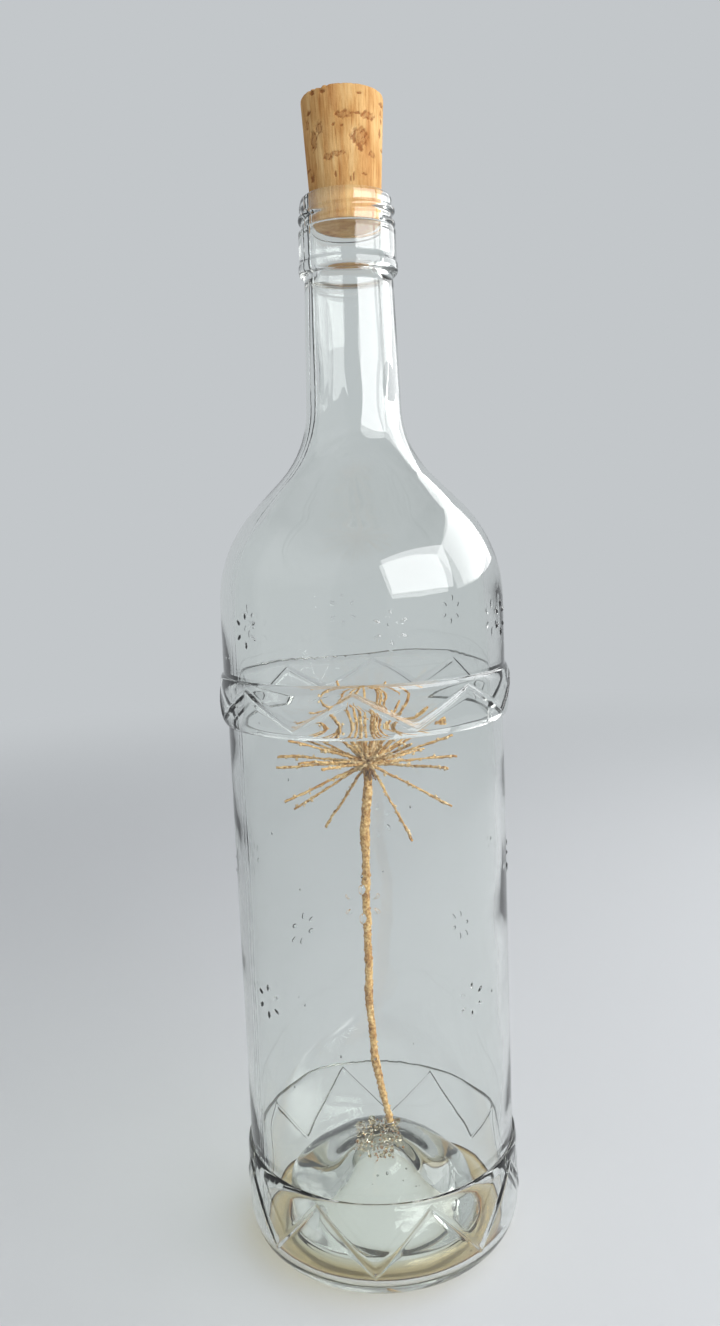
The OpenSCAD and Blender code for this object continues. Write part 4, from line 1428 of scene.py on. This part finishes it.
# %% [markdown]
# ## Studio
# Clear glass shows only what is round it, so the studio is a pale bowl: a floor that
# turns up into a wall on all sides. Near the bottle it is plain paper, which takes the
# shadow. Further off it shows an even tone of its own, which fades towards the top, so
# that the pools of light under the lamps aren't seen through the glass or mirrored in it.

# %% Bowl
FLOOR_R, SWEEP_R, WALL_TOP = 1.1, 0.5, 2.0
FLOOR_RINGS = (0.02, 0.3, 0.8)
STAGE_COLUMNS = 96
PAPER_TO, GLOW_FROM = 0.25, 1.1
FADE_FROM, TOP_GLOW = 1.1, 0.53


def bowl_paper():
    """Matt paper near the middle. Further off, rays from the camera, mirrored rays and
    rays through glass meet an even glow instead, and other rays still meet paper."""
    material, tree = new_material("matt_pale_paper")
    paper = add(tree, "ShaderNodeBsdfPrincipled", Base_Color=linear("#D6D8DA"), Roughness=0.9)
    rays = add(tree, "ShaderNodeLightPath").outputs
    seen = add(tree, "ShaderNodeMath", {"operation": "MAXIMUM"},
               __0=rays["Is Glossy Ray"], __1=rays["Is Transmission Ray"])
    seen = add(tree, "ShaderNodeMath", {"operation": "MAXIMUM"},
               __0=rays["Is Camera Ray"], __1=seen.outputs[0])
    place = add(tree, "ShaderNodeTexCoord").outputs["Object"]
    height = add(tree, "ShaderNodeSeparateXYZ", Vector=place).outputs["Z"]
    fade = add(tree, "ShaderNodeMapRange", {"interpolation_type": "SMOOTHSTEP"},
               Value=height, __1=FADE_FROM, __2=WALL_TOP, __3=1.0, __4=TOP_GLOW)
    glow = add(tree, "ShaderNodeEmission", Color=linear("#C3C7CA"),
               Strength=fade.outputs["Result"])
    far = add(tree, "ShaderNodeVectorMath", {"operation": "LENGTH"}, __0=place)
    wall = add(tree, "ShaderNodeMapRange", {"interpolation_type": "SMOOTHSTEP"},
               Value=far.outputs["Value"], __1=PAPER_TO, __2=GLOW_FROM)
    share = add(tree, "ShaderNodeMath", {"operation": "MULTIPLY"},
                __0=seen.outputs[0], __1=wall.outputs["Result"])
    shown = add(tree, "ShaderNodeMixShader", __0=share.outputs[0], __1=paper.outputs["BSDF"],
                __2=glow.outputs["Emission"])
    add(tree, "ShaderNodeOutputMaterial", Surface=shown.outputs["Shader"])
    return material


def studio_bowl():
    """Floor and wall in metres: a disc, a quarter arc up, and a cylinder."""
    profile = np.concatenate([
        [[r, 0.0] for r in FLOOR_RINGS],
        arc(FLOOR_R, SWEEP_R, SWEEP_R, -90, 0, steps=16),
        [[FLOOR_R + SWEEP_R, WALL_TOP]],
    ]) / MM
    points = np.append(ring_points(plain(profile, even_angles(STAGE_COLUMNS))),
                       [[0, 0, 0]], axis=0) * MM
    faces = np.concatenate([quads(0, len(profile), STAGE_COLUMNS),
                            fan(0, STAGE_COLUMNS, len(points) - 1)])
    mesh = bpy.data.meshes.new("studio_bowl")
    mesh.from_pydata(points.tolist(), [], faces.tolist())
    mesh.polygons.foreach_set("use_smooth", np.full(len(mesh.polygons), True))
    mesh.materials.append(bowl_paper())
    bowl = bpy.data.objects.new("studio_bowl", mesh)
    bpy.context.collection.objects.link(bowl)
    print("bowl: triangles", len(faces), "across, m:", round(2 * points[:, 0].max(), 2))


studio_bowl()

# %% [markdown]
# ## Lamps
# A highlight on clear glass is the mirror image of a lamp, so a lamp that should show is
# placed where the surface mirrors it towards the camera. Two wide lamps stand side by
# side on the right with a thin gap between them, and give the broad highlights on neck
# and shoulder. A fill from the left and one from above are too large and faint to show.

# %% Lamps and world
LAMPS_AIM = (0.0, 0.0, 0.17)
# Name, place and size in metres, and power in watts
LAMPS = (
    ("wide_lamp_near", (0.66, -0.55, 0.57), (0.94, 0.50), 8.0),
    ("wide_lamp_far", (0.78, 0.36, 0.57), (0.98, 0.50), 4.4),
    ("fill", (-0.75, -0.45, 0.50), (1.3, 1.3), 1.2),
    ("top", (0.0, 0.1, 1.35), (1.6, 1.6), 1.0)
)
WORLD_SWATCH, WORLD_STRENGTH = "#C9CDD1", 0.5


def soft_lamp(name, place, aim, size, power):
    """A rectangular soft lamp at a place, turned to shine at aim, all in metres. Its
    back points away from aim, its side is level, and its top is square to both."""
    lamp = bpy.data.lights.new(name, "AREA")
    lamp.shape = "RECTANGLE"
    lamp.size, lamp.size_y = size
    lamp.energy = power
    holder = bpy.data.objects.new(name, lamp)
    back = np.array(place) - np.array(aim)
    back = back / np.linalg.norm(back)
    side = np.cross([0, 0, 1], back)
    side = side / np.linalg.norm(side)
    turned = np.eye(4)
    turned[:3, 0], turned[:3, 1], turned[:3, 2] = side, np.cross(back, side), back
    turned[:3, 3] = place
    holder.matrix_world = Matrix(turned.tolist())
    holder.visible_camera = False
    bpy.context.collection.objects.link(holder)
    print(name, "shines from, m:", place)


for name, place, size, power in LAMPS:
    soft_lamp(name, place, LAMPS_AIM, size, power)
world = bpy.data.worlds.new("studio")
world.use_nodes = True
bpy.context.scene.world = world
sky = world.node_tree.nodes["Background"]
sky.inputs["Color"].default_value = linear(WORLD_SWATCH)
sky.inputs["Strength"].default_value = WORLD_STRENGTH
bpy.context.scene.view_settings.view_transform = "Standard"
